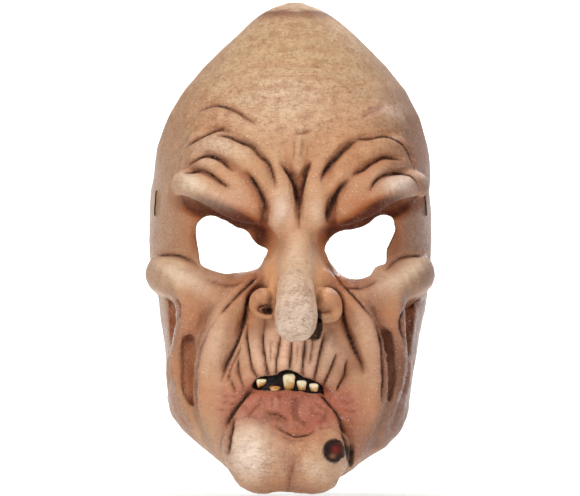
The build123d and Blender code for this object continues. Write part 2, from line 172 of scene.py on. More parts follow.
# the long nose, in space: (x, y, z, radius)
NOSE = [
    (4.0, [(3.5, -13, 12, 5.2), (3.6, -16.5, 3, 6.6), (3.4, -22, -7, 7.6), (2.9, -29, -17, 8.4), (2.6, -37, -26.5, 9.4), (2.7, -45, -34.5, 10.4), (2.9, -49, -41, 11.0), (2.6, -49.3, -44.6, 10.8)]),
    (7.0, [(3.4, -8, -4, 9), (3.0, -13, -17, 12), (2.6, -18, -29, 14.5), (2.4, -19, -38, 15)]),
]
ALAE = [  # centre, radii: the wings of the nose
    ((-14.2, -24.5, -32.4), (5.6, 8.6, 5.2)), ((18.4, -24.5, -33.8), (7.4, 9.0, 6.8)),
]
WINGS = [
    (2.8, [(-18.2, -26.0, -33.0, 2.3), (-19.2, -27.5, -36.8, 2.2), (-17.6, -29.3, -40.2, 1.9), (-14.0, -30.0, -42.1, 1.5), (-10.4, -29.8, -42.2, 1.2)]),
    (2.4, [(23.4, -25.5, -35.4, 2.6), (24.0, -27.5, -39.2, 2.8), (21.4, -29.5, -42.2, 3.0), (17.2, -30.2, -42.8, 2.7), (13.8, -30.0, -41.8, 1.9)]),
]

# hollows pressed into the form: (x, z, radius, depth)
HOLLOWS = [
    (4.0, [(-43.65, -1.59, 13, 5), (-35.39, -4.18, 14, 6), (-26.09, -6.24, 13, 6), (-17.82, -7.28, 10, 4.5)]),
    (4.0, [(49.34, -1.59, 13, 5), (41.59, -4.18, 14, 6), (31.77, -7.28, 13, 6), (23.51, -9.34, 10, 4.5)]),
    (1.6, [(-62.25, -35.69, 3.6, 3.5), (-61.74, -41.37, 4.8, 5.5), (-61.48, -48.61, 4.8, 5.5), (-60.96, -56.36, 3.6, 3)]),
    (1.6, [(62.77, -36.72, 4.2, 4.5), (62.25, -42.92, 5.4, 7), (61.74, -50.16, 5.2, 7), (61.22, -58.42, 4, 4)]),
    (1.6, [(-51.92, -55.32, 3.4, 2.5), (-52.7, -62.56, 4.4, 4.5), (-52.7, -70.82, 4.6, 5), (-51.66, -79.09, 4.2, 4), (-49.85, -85.29, 3.2, 2)]),
    (1.6, [(48.3, -52.22, 3.2, 2.5), (49.34, -59.46, 4.2, 4.5), (50.11, -67.72, 4.4, 5), (49.6, -75.99, 4.2, 4), (48.3, -83.22, 3.2, 2)]),
    (2.5, [(-51.92, 16.49, 5, 3), (-45.2, 13.9, 6.5, 4.5), (-36.94, 11.32, 6, 3.5), (-29.71, 8.22, 5, 2)]),
    (2.5, [(59.67, 17.52, 5, 3), (53.47, 14.94, 6.5, 4.5), (46.24, 11.84, 6, 3.5), (39, 8.74, 5, 2)]),
    (3.0, [(-11.62, -1.59, 5, 2.5), (-12.66, -7.79, 4, 2)]), (3.0, [(18.34, -2.63, 5, 2.5), (18.34, -8.83, 4, 2)]),
]
NOSTRILS = [((-12.4, -36.0, -39.4), (-12.0, -22.0, -37.4), 2.1), ((14.2, -36.0, -46.4), (14.2, -20.0, -42.5), 2.2)]

EYE_LEFT = [(-49.03, 4.09), (-47.58, 6.88), (-44.89, 9.1), (-41.59, 9.98), (-38.64, 9.51), (-36.27, 8.22), (-33.84, 7.45), (-30.38, 5.38),
            (-28, 3.88), (-23.82, 2.69), (-21.44, 0.63), (-19.68, -2.32), (-16.79, -5.31), (-12.14, -7.43), (-12.55, -10.07), (-14.36, -13.63),
            (-16.43, -16.89), (-20.92, -18.8), (-27.38, -19.42), (-33.32, -20.14), (-39.52, -18.64), (-43.4, -17.2), (-46.39, -15.39), (-47.12, -12.96),
            (-47.84, -7.79), (-48.82, -2.63)]
EYE_RIGHT = [(17.72, -7.38), (18.55, -9.76), (20.1, -13.63), (22.42, -16.58), (24.54, -19.26), (26.61, -21.02), (29.24, -22.21), (32.81, -22.78),
             (36.37, -22.67), (39.37, -21.64), (41.59, -20.45), (43.81, -16.89), (46.75, -15.7), (49.44, -14.51), (49.75, -11.82), (49.85, -7.69),
             (50.89, -5.31), (54.19, 2.13), (53.88, 5.07), (53.26, 8.02), (51.82, 9.51), (49.13, 10.29), (46.19, 9.98), (44.12, 8.94),
             (41.74, 6.88), (37.87, 4.5), (31.62, 2.69), (27.48, 2.38), (22.99, 0.47), (19.37, -3.14)]
MOUTH = [(-19.89, -78.05), (-18.34, -75.21), (-15.24, -73.3), (-11.11, -72.68), (-7.49, -72.27), (-4.91, -70.41), (-1.03, -69.58), (2.84, -70.82), (6.46, -73.2), (10.07, -74.23), (13.69, -75.99),
         (16.27, -78.57), (16.53, -81.15), (12.66, -81.98), (7.49, -81.36), (2.84, -80.74), (-3.36, -80.22), (-9.56, -80.33), (-14.72, -80.22), (-18.34, -79.71)]

# ------------------------------------------------------------------ sampling grid
LO = np.array([-81.0, -68.0, -141.0])
HI = np.array([81.0, 66.0, 126.0])
AXES = [np.arange(LO[i], HI[i], PITCH, dtype=np.float32) for i in range(3)]
SHAPE = tuple(len(a) for a in AXES)


def plain_field():
    """Signed distance, roughly, to the plain form; it runs on straight behind the rim."""
    x, y, z = AXES
    a, f, r = head_at(z)
    c = centre_at(z)
    u = np.abs(x[:, None, None] - c[None, None, :]) / (a[None, None, :] * reach(x[:, None, None], z[None, None, :]))
    v = np.clip((r[None, :] - y[:, None]) / (r - f)[None, :], 0, 3)
    q = np.minimum(u, 4).astype(np.float32) ** FULL + (v.astype(np.float32) ** FULL)[None, :, :]
    q = np.maximum(q, 1e-4) ** (1 / FULL) - 1
    g = np.gradient(q, PITCH)
    steep = np.sqrt(g[0] ** 2 + g[1] ** 2 + g[2] ** 2)
    d = q / np.maximum(steep, 0.008)
    lid = np.maximum(z - 121.9, -131.2 - z)[None, None, :]          # nothing above the crown or below the jaw
    return np.maximum(d, lid).astype(np.float32)


def window(lo, hi):
    s, grids = [], []
    for i in range(3):
        a = max(0, int((lo[i] - LO[i]) / PITCH))
        b = min(SHAPE[i], int((hi[i] - LO[i]) / PITCH) + 2)
        s.append(slice(a, b))
        grids.append(AXES[i][a:b])
    return tuple(s), np.meshgrid(*grids, indexing="ij")


def tube(grids, line):
    """Distance to a chain of tapering balls; line holds (x, y, z, r)."""
    best = None
    for p, q in zip(line[:-1], line[1:]):
        d = q[:3] - p[:3]
        dd = float(d @ d) or 1e-9
        w = [g - c for g, c in zip(grids, p[:3])]
        t = np.clip((w[0] * d[0] + w[1] * d[1] + w[2] * d[2]) / dd, 0, 1)
        e = np.sqrt((w[0] - t * d[0]) ** 2 + (w[1] - t * d[1]) ** 2 + (w[2] - t * d[2]) ** 2) - (p[3] + (q[3] - p[3]) * t)
        best = e if best is None else np.minimum(best, e)
    return best


def egg(grids, centre, radii):
    w = [(g - c) / r for g, c, r in zip(grids, centre, radii)]
    k = np.sqrt(w[0] ** 2 + w[1] ** 2 + w[2] ** 2)
    return (k - 1) * min(radii)


def smin(a, b, k):
    h = np.clip(0.5 + 0.5 * (a - b) / k, 0, 1)
    return a * (1 - h) + b * h - k * h * (1 - h)


def add_line(field, line, k):
    line = np.asarray(line, float)
    m = line[:, 3].max() + k + 7
    s, g = window(line[:, :3].min(0) - m, line[:, :3].max(0) + m)
    field[s] = smin(field[s], tube(g, line), k)


def cut_line(field, line, k):
    line = np.asarray(line, float)
    m = line[:, 3].max() + k + 3
    s, g = window(line[:, :3].min(0) - m, line[:, :3].max(0) + m)
    field[s] = -smin(-field[s], tube(g, line), k)


def polygon_distance(px, pz, outline):
    """Signed distance in the x-z plane, negative inside, on the grids px, pz."""
    o = np.asarray(outline, float)
    n = np.roll(o, -1, 0)
    best = np.full(px.shape, 1e9)
    inside = np.zeros(px.shape, bool)
    for (ax, az), (bx, bz) in zip(o, n):
        dx, dz = bx - ax, bz - az
        t = np.clip(((px - ax) * dx + (pz - az) * dz) / (dx * dx + dz * dz), 0, 1)
        best = np.minimum(best, np.hypot(px - ax - t * dx, pz - az - t * dz))
        if dz:
            inside ^= ((az > pz) != (bz > pz)) & (px < dx * (pz - az) / dz + ax)
    return np.where(inside, -best, best)


def closed_smooth(points):
    p = np.array(points, float)
    q = np.vstack([p[-1:], p, p[:2]])
    out = []
    for i in range(1, len(q) - 2):
        a, b, c, d = q[i - 1], q[i], q[i + 1], q[i + 2]
        t = np.linspace(0, 1, 5, endpoint=False)[:, None]
        out.append(0.5 * (2 * b + (c - a) * t + (2 * a - 5 * b + 4 * c - d) * t * t + (3 * b - a - 3 * c + d) * t ** 3))
    return np.vstack(out)


def lay(points, sign=1):
    """Points (x, z, radius, rise) put on the form as (x, y, z, radius); a hollow's ball sits in front instead."""
    line = smooth_line(points, 4.0)
    out = []
    for x, z, r, rise in line:
        if sign > 0:
            c = on_form(x, z, r, rise)
        else:
            c = np.array([x, float(front(x, z)), z]) + outward(x, z) * (r - rise)
        out.append((*c, r))
    return out


field = plain_field()
for k, points in MASSES:
    add_line(field, lay(points), k)
for k, points in HOLLOWS:
    cut_line(field, lay(points, -1), k)
for k, points in NOSE:
    add_line(field, smooth_line(points, 3.0), k)
for centre, radii in ALAE:
    m = max(radii) + 7
    s, g = window(np.array(centre) - m, np.array(centre) + m)
    field[s] = smin(field[s], egg(g, centre, radii), 2.0)
for k, points in WINGS:
    add_line(field, smooth_line(points, 1.5), k)
for a, b, r in NOSTRILS:
    cut_line(field, [(*a, r), (*b, r * 0.9)], 1.2)


def ball(centre, r, k):
    m = r + k + 4
    s, g = window(np.array(centre) - m, np.array(centre) + m)
    field[s] = smin(field[s], egg(g, centre, (r, r, r)), k)


def sample(arr, p):
    """Trilinear value of a grid at points in millimetres."""
    f = (p - LO) / PITCH
    f = np.clip(f, 0, np.array(SHAPE) - 1.001)
    i = f.astype(int)
    t = f - i
    out = 0
    for dx in (0, 1):
        for dy in (0, 1):
            for dz in (0, 1):
                w = (t[:, 0] if dx else 1 - t[:, 0]) * (t[:, 1] if dy else 1 - t[:, 1]) * (t[:, 2] if dz else 1 - t[:, 2])
                out = out + w * arr[i[:, 0] + dx, i[:, 1] + dy, i[:, 2] + dz]
    return out


def lattice_noise(p, size, seed, octaves=1):
    """Smooth random value from -1 to 1 with the given feature size in millimetres."""
    out, amp, total = 0.0, 1.0, 0.0
    for k in range(octaves):
        rng = np.random.default_rng(seed + 17 * k)
        table = rng.uniform(-1, 1, (61, 61, 61)).astype(np.float32)
        f = (p + 200.0) / (size / 2 ** k)
        i = np.floor(f).astype(int)
        t = f - i
        t = t * t * (3 - 2 * t)
        v = 0
        for dx in (0, 1):
            for dy in (0, 1):
                for dz in (0, 1):
                    w = (t[:, 0] if dx else 1 - t[:, 0]) * (t[:, 1] if dy else 1 - t[:, 1]) * (t[:, 2] if dz else 1 - t[:, 2])
                    v = v + w * table[(i[:, 0] + dx) % 61, (i[:, 1] + dy) % 61, (i[:, 2] + dz) % 61]
        out = out + amp * v
        total += amp
        amp *= 0.5
    return out / total


def skin_front(x, z, start=-66.0):
    """y where the outside of the mask is met from the front."""
    ys = np.arange(start, 40, 0.5)
    f = sample(field, np.stack([np.full_like(ys, x), ys, np.full_like(ys, z)], 1))
    i = int(np.argmax(f < 0))
    return float(ys[i - 1] + 0.5 * f[i - 1] / max(f[i - 1] - f[i], 1e-6)) if i else float(ys[0])


WART = np.array([22.63, -111.22])
wart_y = skin_front(*WART)
ball((WART[0], wart_y + 0.8, WART[1]), 5.0, 1.0)
warts = np.random.default_rng(9)
for i in range(8):
    a = 2 * math.pi * i / 8 + 0.3
    ball((WART[0] + 3.9 * math.cos(a), wart_y - 1.2 + 0.5 * warts.uniform(-1, 1), WART[1] + 3.7 * math.sin(a)), 1.85 + 0.35 * warts.uniform(-1, 1), 0.25)
for dx, dz in ((0.6, 0.9), (-1.0, -0.6), (1.1, -1.2)):
    ball((WART[0] + dx, wart_y - 3.4, WART[1] + dz), 1.6, 0.2)

# the shell: outside form less the same form set in by the wall, less the holes, cut at the rim
gx, gz = np.meshgrid(AXES[0], AXES[2], indexing="ij")
holes = np.minimum(polygon_distance(gx, gz, closed_smooth(EYE_LEFT)), polygon_distance(gx, gz, closed_smooth(EYE_RIGHT)))
holes = np.minimum(holes, polygon_distance(gx, gz, closed_smooth(MOUTH))).astype(np.float32)
front_only = (AXES[1] < 34).astype(np.float32)
solid = np.maximum(field, -(field + WALL))
solid = np.maximum(solid, np.where(front_only[None, :, None] > 0, -holes[:, None, :], -99))
rim = head_at(AXES[2])[2].astype(np.float32)
solid = np.maximum(solid, (AXES[1][:, None] - rim[None, :])[None, :, :] * 0.93).astype(np.float32)

# fill the cell corners where two walls would meet along one edge only, so the skin stays a clean closed surface
for _ in range(5):
    filled, tangled = solid < 0, 0
    for u, v in ((0, 1), (0, 2), (1, 2)):
        corners = []
        for i, j in ((0, 0), (1, 0), (0, 1), (1, 1)):
            cut = [slice(None)] * 3
            cut[u] = slice(i, solid.shape[u] - 1 + i)
            cut[v] = slice(j, solid.shape[v] - 1 + j)
            corners.append(tuple(cut))
        s00, s10, s01, s11 = (filled[c] for c in corners)
        meet = (s00 == s11) & (s10 == s01) & (s00 != s10)
        tangled += int(meet.sum())
        for c in corners:
            part = solid[c]
            part[meet & ~filled[c]] = -0.04
    if not tangled:
        break


def surface_nets(f):
    """Quads of the zero surface of a grid, one vertex per crossed cell."""
    neg = f < 0
    mixed = np.zeros(tuple(n - 1 for n in f.shape), bool)
    first = neg[:-1, :-1, :-1]
    for dx in (0, 1):
        for dy in (0, 1):
            for dz in (0, 1):
                part = neg[dx:f.shape[0] - 1 + dx, dy:f.shape[1] - 1 + dy, dz:f.shape[2] - 1 + dz]
                mixed |= part != first
    cells = np.argwhere(mixed)
    index = np.full(mixed.shape, -1, np.int32)
    index[cells[:, 0], cells[:, 1], cells[:, 2]] = np.arange(len(cells))
    corner = {}
    for dx in (0, 1):
        for dy in (0, 1):
            for dz in (0, 1):
                corner[dx, dy, dz] = f[cells[:, 0] + dx, cells[:, 1] + dy, cells[:, 2] + dz].astype(np.float64)
    total = np.zeros((len(cells), 3))
    count = np.zeros(len(cells))
    for axis in range(3):
        for u in (0, 1):
            for v in (0, 1):
                a = [0, 0, 0]
                others = [i for i in range(3) if i != axis]
                a[others[0]], a[others[1]] = u, v
                b = list(a)
                b[axis] = 1
                fa, fb = corner[tuple(a)], corner[tuple(b)]
                hit = (fa < 0) != (fb < 0)
                t = fa / np.where(np.abs(fa - fb) < 1e-9, 1, fa - fb)
                point = np.array(a, float)[None, :] + np.zeros((len(cells), 3))
                point[:, axis] = t
                total[hit] += point[hit]
                count[hit] += 1
    verts = (cells + total / count[:, None]) * PITCH + LO
    quads = []
    for axis in range(3):
        others = [i for i in range(3) if i != axis]
        lo = [slice(None)] * 3
        hi = [slice(None)] * 3
        lo[axis], hi[axis] = slice(0, -1), slice(1, None)
        a, b = neg[tuple(lo)], neg[tuple(hi)]
        edge = np.argwhere(a != b)
        ok = (edge[:, others[0]] > 0) & (edge[:, others[1]] > 0) & (edge[:, others[0]] < f.shape[others[0]] - 1) & (edge[:, others[1]] < f.shape[others[1]] - 1)
        edge = edge[ok]
        flip = a[edge[:, 0], edge[:, 1], edge[:, 2]]
        ids = []
        for du, dv in ((1, 1), (0, 1), (0, 0), (1, 0)):
            c = edge.copy()
            c[:, others[0]] -= du
            c[:, others[1]] -= dv
            ids.append(index[c[:, 0], c[:, 1], c[:, 2]])
        q = np.stack(ids, 1)
        if axis == 1:
            flip = ~flip
        q[flip] = q[flip][:, ::-1]
        quads.append(q)
    q = np.vstack(quads)
    return verts, q[:, ::-1]


verts, quads = surface_nets(solid)
keep = (quads >= 0).all(1)
quads = quads[keep]


def largest_piece(verts, quads):
    """Drops any crumb that isn't joined to the shell."""
    label = np.arange(len(verts))
    for _ in range(400):
        low = label[quads].min(1)
        new = label.copy()
        for i in range(4):
            np.minimum.at(new, quads[:, i], low)
        new = new[new]
        if (new == label).all():
            break
        label = new
    names, counts = np.unique(label[quads[:, 0]], return_counts=True)
    main = names[counts.argmax()]
    quads = quads[label[quads[:, 0]] == main]
    used = np.unique(quads)
    remap = np.full(len(verts), -1)
    remap[used] = np.arange(len(used))
    return verts[used], remap[quads]


verts, quads = largest_piece(verts, quads)


def vertex_normals(verts, quads):
    a, b, c, d = (verts[quads[:, i]] for i in range(4))
    n = np.cross(c - a, d - b)
    out = np.zeros_like(verts)
    for i in range(4):
        np.add.at(out, quads[:, i], n)
    return out / np.maximum(np.linalg.norm(out, axis=1), 1e-9)[:, None]


# pull each vertex onto the true surface
for _ in range(2):
    e = 0.5
    value = sample(solid, verts)
    grad = np.stack([(sample(solid, verts + d) - sample(solid, verts - d)) / (2 * e) for d in np.eye(3) * e], 1)
    size = np.maximum((grad ** 2).sum(1), 0.3)
    verts = verts - np.clip(value / size, -0.5, 0.5)[:, None] * grad

outer_value = sample(field, verts)
outer = np.clip(1 - (np.abs(outer_value) - 0.35) / 1.2, 0, 1)     # 1 on the painted outside, 0 on the inside
outer[outer_value < -1.9] = 0
normals = vertex_normals(verts, quads)
rest_normals = normals.copy()


# ------------------------------------------------------------------ creases, in millimetres: (width, depth, lip beside it, frontmost y) and points (x, z)
CREASES = [
    # stacked brow folds, left
    (1.1, 1.5, 0.5, -99, [(-48.46, 64.53), (-41.95, 67.32), (-36.63, 67.43), (-31.26, 65.77), (-26.61, 63.4), (-22.99, 60.71), (-17.82, 57.56)]),
    (1.2, 1.7, 0.5, -99, [(-55.02, 45.42), (-49.08, 49.76), (-43.14, 53.01), (-39.26, 54.61), (-34.87, 54.82), (-30.74, 52.91)]),
    (1.3, 1.8, 0.6, -99, [(-39.57, 51.82), (-32.44, 51.51), (-26.61, 49.14), (-19.99, 46.19), (-15.86, 41.44), (-11.73, 37.31), (-9.35, 30.95), (-7.49, 23.2)]),
    (1.2, 1.7, 0.5, -99, [(-53.99, 34.83), (-49.08, 39.43), (-44.33, 41.49), (-39.57, 40.67), (-34.87, 38.39), (-31.77, 35.5), (-28.16, 33.02)]),
    (1.1, 1.6, 0.4, -99, [(-55.54, 31.99), (-49.08, 33.33), (-44.33, 32.5), (-39.57, 29.56), (-36.01, 26.92), (-31.26, 24.24)]),
    (1.9, 2.4, 0.5, -99, [(-24.54, 33.02), (-19.99, 27.85), (-16.43, 22.48), (-14.05, 17.73), (-13.17, 12.97), (-14.36, 8.22)]),
    # and right
    (1.3, 0.8, 0.4, -99, [(35.91, 60.4), (40.97, 63.45), (45.67, 65.82), (49.34, 67.37)]),
    (1.7, 2.2, 0.5, -99, [(15.5, 26.82), (17.31, 30.95), (19.63, 35.09), (22.47, 39.22), (26.24, 43.4), (30.95, 47.54), (35.08, 49.91)]),
    (1.1, 1.6, 0.5, -99, [(31.77, 48), (35.08, 49.91), (40.97, 50.48), (46.86, 51.82), (51.56, 51.51), (56.31, 49.14), (60.39, 45.16), (63.29, 39.27), (65.35, 33.02)]),
    (1.1, 1.5, 0.4, -99, [(31.77, 29.92), (34.87, 32.5), (37.45, 34), (40.97, 36.64), (45.1, 38.91), (48.61, 40.25), (52.75, 40.1), (58.64, 38.96)]),
    (1.1, 1.5, 0.4, -99, [(40.04, 21.65), (42.1, 24.75), (44.53, 27.96), (48.61, 30.85), (53.94, 32.09), (58.64, 32.3), (63.29, 30.95), (66.39, 27.34), (67.42, 23.2)]),
    (2.0, 2.4, 0.5, -99, [(30.22, 28.89), (28.62, 26.82), (25.06, 23.2), (21.85, 18.04), (20.51, 12.35), (19.63, 5.64)]),
    # frown
    (1.4, 2.0, 0.5, -99, [(-5.94, 38.7), (-3.87, 36.38), (-1.03, 33.02), (1.81, 28.37), (3.36, 23.2), (4.18, 17), (4.29, 10.8), (4.49, 3.06)]),
    (1.2, 1.8, 0.4, -99, [(9.56, 38.7), (9.14, 36.64), (7.39, 32.24), (5.84, 26.3), (4.7, 21.14)]),
    (0.9, 1.0, 0.3, -99, [(1.81, 53.43), (4.91, 52.75), (10.59, 53.37)]),
    (0.9, 0.7, 0.3, -99, [(1.29, 49.55), (1.81, 43.87), (1.03, 38.7)]),
    (0.9, 0.6, 0.3, -99, [(6.72, 50.07), (6.46, 44.9), (5.17, 39.74)]),
    # above and below the cheekbones
    (1.1, 1.1, 0.3, -99, [(-72.59, -10.89), (-67.42, -10.17), (-60.91, -10.17), (-55.59, -11.67), (-50.37, -14.51), (-47.27, -18.13)]),
    (1.1, 1.1, 0.3, -99, [(72.07, -10.89), (66.9, -10.38), (60.7, -10.89), (56.05, -12.44), (51.92, -15.54), (48.82, -19.16)]),
    (1.1, 1.0, 0.3, -99, [(-43.65, -22.78), (-36.42, -25.62), (-30.22, -25.88), (-22.99, -23.81)]),
    (1.1, 1.0, 0.3, -99, [(45.72, -22.78), (39, -26.65), (31.77, -27.43), (24.54, -25.36)]),
    (1.0, 1.0, 0.3, -99, [(-60.7, -32.07), (-58.38, -35.17), (-57.86, -39.82), (-58.89, -44.99)]),
    (1.1, 0.6, 0.3, -99, [(-55.02, -53.26), (-55.54, -62.56), (-55.28, -72.89), (-53.47, -84.25)]),
    (1.2, 1.8, 0.3, -99, [(70.52, -32.07), (64.32, -36.52), (59.46, -39.82), (57.55, -43.96), (57.55, -48.61), (59.15, -53.26), (60.7, -59.46)]),
    (1.0, 0.7, 0.2, -99, [(60.7, -59.46), (61.22, -67.72), (59.15, -79.09), (56.05, -86.32)]),
    # beside the nose and down the cheeks
    (1.2, 1.3, 0.4, -99, [(-15.76, -20.71), (-20.41, -24.84), (-26.09, -30.01), (-31.77, -35.69), (-36.94, -41.37)]),
    (1.3, 0.75, 0.4, -99, [(-36.94, -41.37), (-42.1, -48.61), (-46.24, -56.87), (-48.82, -66.69), (-49.85, -78.05), (-48.82, -89.42), (-45.2, -99.75)]),
    (1.2, 1.2, 0.4, -99, [(18.86, -13.99), (22.47, -19.16), (27.12, -25.36), (32.5, -30.78), (39.42, -38.58), (43.65, -43.96)]),
    (1.4, 1.9, 0.3, -99, [(43.65, -43.96), (46.5, -50.67), (47.79, -56.87), (48.3, -63.59), (48.61, -70.82), (48.61, -79.09), (47.53, -86.84)]),
    (1.4, 1.9, 0.4, -25, [(-11.62, -27.43), (-16.27, -28.2), (-20.41, -31.3), (-21.96, -36.72), (-23.25, -42.92), (-26.35, -50.67), (-29.81, -59.04), (-32.86, -66.58), (-36.63, -76.45)]),
    (1.4, 1.9, 0.4, -25, [(14.21, -27.43), (19.37, -28.72), (24.02, -32.33), (25.57, -37.76), (27.02, -44.99), (30.74, -52.95), (33.84, -60.54), (36.11, -66.58), (37.87, -72.89)]),
    (1.0, 0.9, 0.3, -99, [(-25.57, -56.87), (-28.67, -63.59), (-31.51, -70.3), (-33.32, -77.02)]),
    (0.9, 0.5, 0.2, -99, [(-14.72, -13.99), (-17.82, -21.23), (-21.96, -26.91)]),
    (0.9, 0.5, 0.2, -99, [(20.41, -11.93), (23.51, -18.13), (28.16, -23.29)]),
    # wrinkles down the upper lip
    (1.0, 1.5, 0.4, -44, [(-22.16, -44.99), (-22.99, -52.22), (-21.85, -60.54), (-20.35, -68.13), (-17.82, -72.89), (-15.24, -77.02)]),
    (1.1, 1.7, 0.4, -44, [(-13.79, -44.99), (-14.67, -54.5), (-13.54, -63.59), (-12.04, -70.82), (-10.85, -77.02)]),
    (1.0, 1.3, 0.4, -44, [(-5.17, -50.16), (-6.35, -59.04), (-7.49, -65.65), (-7.23, -71.34), (-6.46, -77.02)]),
    (1.1, 1.7, 0.4, -44, [(0.57, -53.26), (0.1, -62.04), (-0.57, -69.79), (-0.77, -74.95)]),
    (1.1, 1.6, 0.4, -44, [(7.7, -52.22), (6.92, -62.04), (6.15, -70.3), (5.68, -77.02)]),
    (1.1, 1.3, 0.4, -44, [(18.03, -49.64), (15.65, -60.54), (13.38, -69.63), (11.62, -77.02)]),
    (0.9, 1.0, 0.3, -44, [(11.62, -53.26), (10.85, -60.49), (9.56, -67.72)]),
    (1.0, 1.3, 0.4, -44, [(24.02, -60.49), (22.21, -66.69), (20.2, -71.13), (17.15, -77.23), (15.24, -80.64)]),
    (1.0, 1.4, 0.4, -44, [(29.71, -63.59), (28.93, -68.75), (27.38, -74.18), (23.25, -81.77)]),
    (0.9, 1.1, 0.3, -44, [(-27.38, -63.07), (-27.64, -68.75), (-26.09, -74.95), (-23.51, -80.12)]),
    (0.9, 1.0, 0.3, -44, [(-31.77, -69.79), (-30.74, -75.99), (-28.16, -82.19)]),
    (0.8, 0.7, 0.2, -44, [(-9.82, -53.26), (-10.33, -60.49), (-10.07, -67.72)]),
    (0.8, 0.7, 0.2, -44, [(3.67, -55.84), (3.25, -62.56), (2.84, -68.75)]),
    # mouth corners
    (1.4, 2.0, 0.5, -99, [(-17.82, -79.09), (-20.92, -80.38), (-23.76, -82.7), (-28.31, -88.59), (-32.08, -94.64), (-33.84, -99.75)]),
    (1.4, 2.0, 0.5, -99, [(14.21, -80.64), (16.79, -82.7), (19.63, -85.54), (23.97, -90.87), (26.86, -95.62), (28.16, -100.79)]),
    (0.7, 0.7, 0.2, -99, [(-35.39, -86.32), (-31.26, -87.35), (-28.16, -87.35)]), (0.7, 0.7, 0.2, -99, [(-36.94, -90.45), (-33.32, -90.97), (-30.22, -90.45)]),
    (0.7, 0.6, 0.2, -99, [(-35.91, -83.22), (-31.26, -83.74), (-26.61, -83.22)]),
    (0.7, 0.7, 0.2, -99, [(25.57, -86.32), (29.71, -87.35), (33.84, -85.8)]), (0.7, 0.7, 0.2, -99, [(27.12, -89.94), (30.74, -91.49), (34.36, -91.49)]),
    (0.7, 0.7, 0.2, -99, [(27.64, -93.04), (30.74, -96.14), (33.32, -99.24)]), (0.7, 0.6, 0.2, -99, [(24.54, -82.7), (28.67, -83.22), (32.29, -81.15)]),
    # lower lip
    (0.9, 0.9, 0.3, -99, [(-14.72, -86.32), (-18.34, -89.42), (-21.96, -93.55)]),
    (1.0, 1.1, 0.3, -99, [(-14.72, -92), (-10.07, -92.26), (-4.91, -93.55), (-0.77, -96.65)]),
    (1.0, 1.1, 0.4, -99, [(-10.59, -97.17), (-7.49, -98.72), (-2.32, -101.56), (2.84, -103.73), (9.04, -102.33), (12.66, -99.96)]),
    (0.8, 0.7, 0.3, -99, [(-5.94, -102.85), (-1.81, -104.71), (3.36, -105.95), (8.01, -104.92)]),
    (0.7, 0.7, 0.3, -99, [(-8.52, -95.1), (-4.39, -96.65), (-0.77, -99.24)]), (0.7, 0.6, 0.2, -99, [(2.84, -97.69), (3.87, -100.79)]), (0.7, 0.6, 0.2, -99, [(5.94, -97.17), (10.07, -96.65)]),
    (0.8, 0.7, 0.2, -99, [(12.14, -86.84), (16.27, -88.9), (20.41, -92.52)]),
    (0.8, 0.6, 0.2, -99, [(10.07, -92), (14.72, -93.04), (18.34, -95.62)]),
    (0.65, 0.5, 0.2, -99, [(-12.66, -82.19), (-13.69, -85.8), (-13.17, -89.42)]), (0.65, 0.55, 0.2, -99, [(-9.04, -81.67), (-9.56, -86.32), (-9.04, -90.97)]),
    (0.65, 0.55, 0.2, -99, [(-5.42, -81.41), (-5.42, -86.32), (-4.91, -90.97)]), (0.65, 0.5, 0.2, -99, [(-1.81, -81.41), (-1.29, -86.32), (-0.77, -94.07)]),
    (0.65, 0.55, 0.2, -99, [(2.07, -81.41), (2.84, -86.84), (2.84, -92.52), (3.36, -99.24)]), (0.65, 0.5, 0.2, -99, [(5.94, -81.67), (6.97, -86.32), (6.97, -91.49)]),
    (0.65, 0.5, 0.2, -99, [(9.56, -82.7), (10.59, -86.84), (11.11, -90.45)]),
    # round the chin
    (1.5, 2.0, 0.4, -99, [(-29.71, -94.07), (-31.26, -101.3), (-32.5, -107.5), (-33.06, -114.22)]),
    (1.7, 2.2, 0.4, -99, [(26.09, -93.04), (28.16, -101.3), (30.22, -109.05), (31.05, -117.32)]),
    (1.3, 0.9, 0.3, -99, [(1.81, -115.25), (0.77, -120.42), (-0.52, -126.62), (-1.03, -133.85)]),
    (0.7, 0.5, 0.2, -99, [(4.91, -111.12), (3.87, -115.25), (4.39, -119.38)]),
    # faint lines over the forehead
    (0.9, 0.35, 0.15, -99, [(-27.12, 85.71), (-14.72, 87.78), (-0.26, 88.3), (15.24, 87.26), (28.16, 84.68)]),
    (0.9, 0.4, 0.15, -99, [(-32.29, 79), (-18.34, 81.58), (-0.26, 82.62), (17.82, 81.07), (34.87, 77.97)]),
    (0.9, 0.45, 0.2, -99, [(-35.39, 72.28), (-20.92, 75.38), (-2.84, 76.93), (16.27, 75.38), (31.77, 71.77)]),
    (0.9, 0.4, 0.15, -99, [(-14.72, 67.63), (-2.84, 69.7), (11.11, 69.18), (23.51, 66.6)]),
]


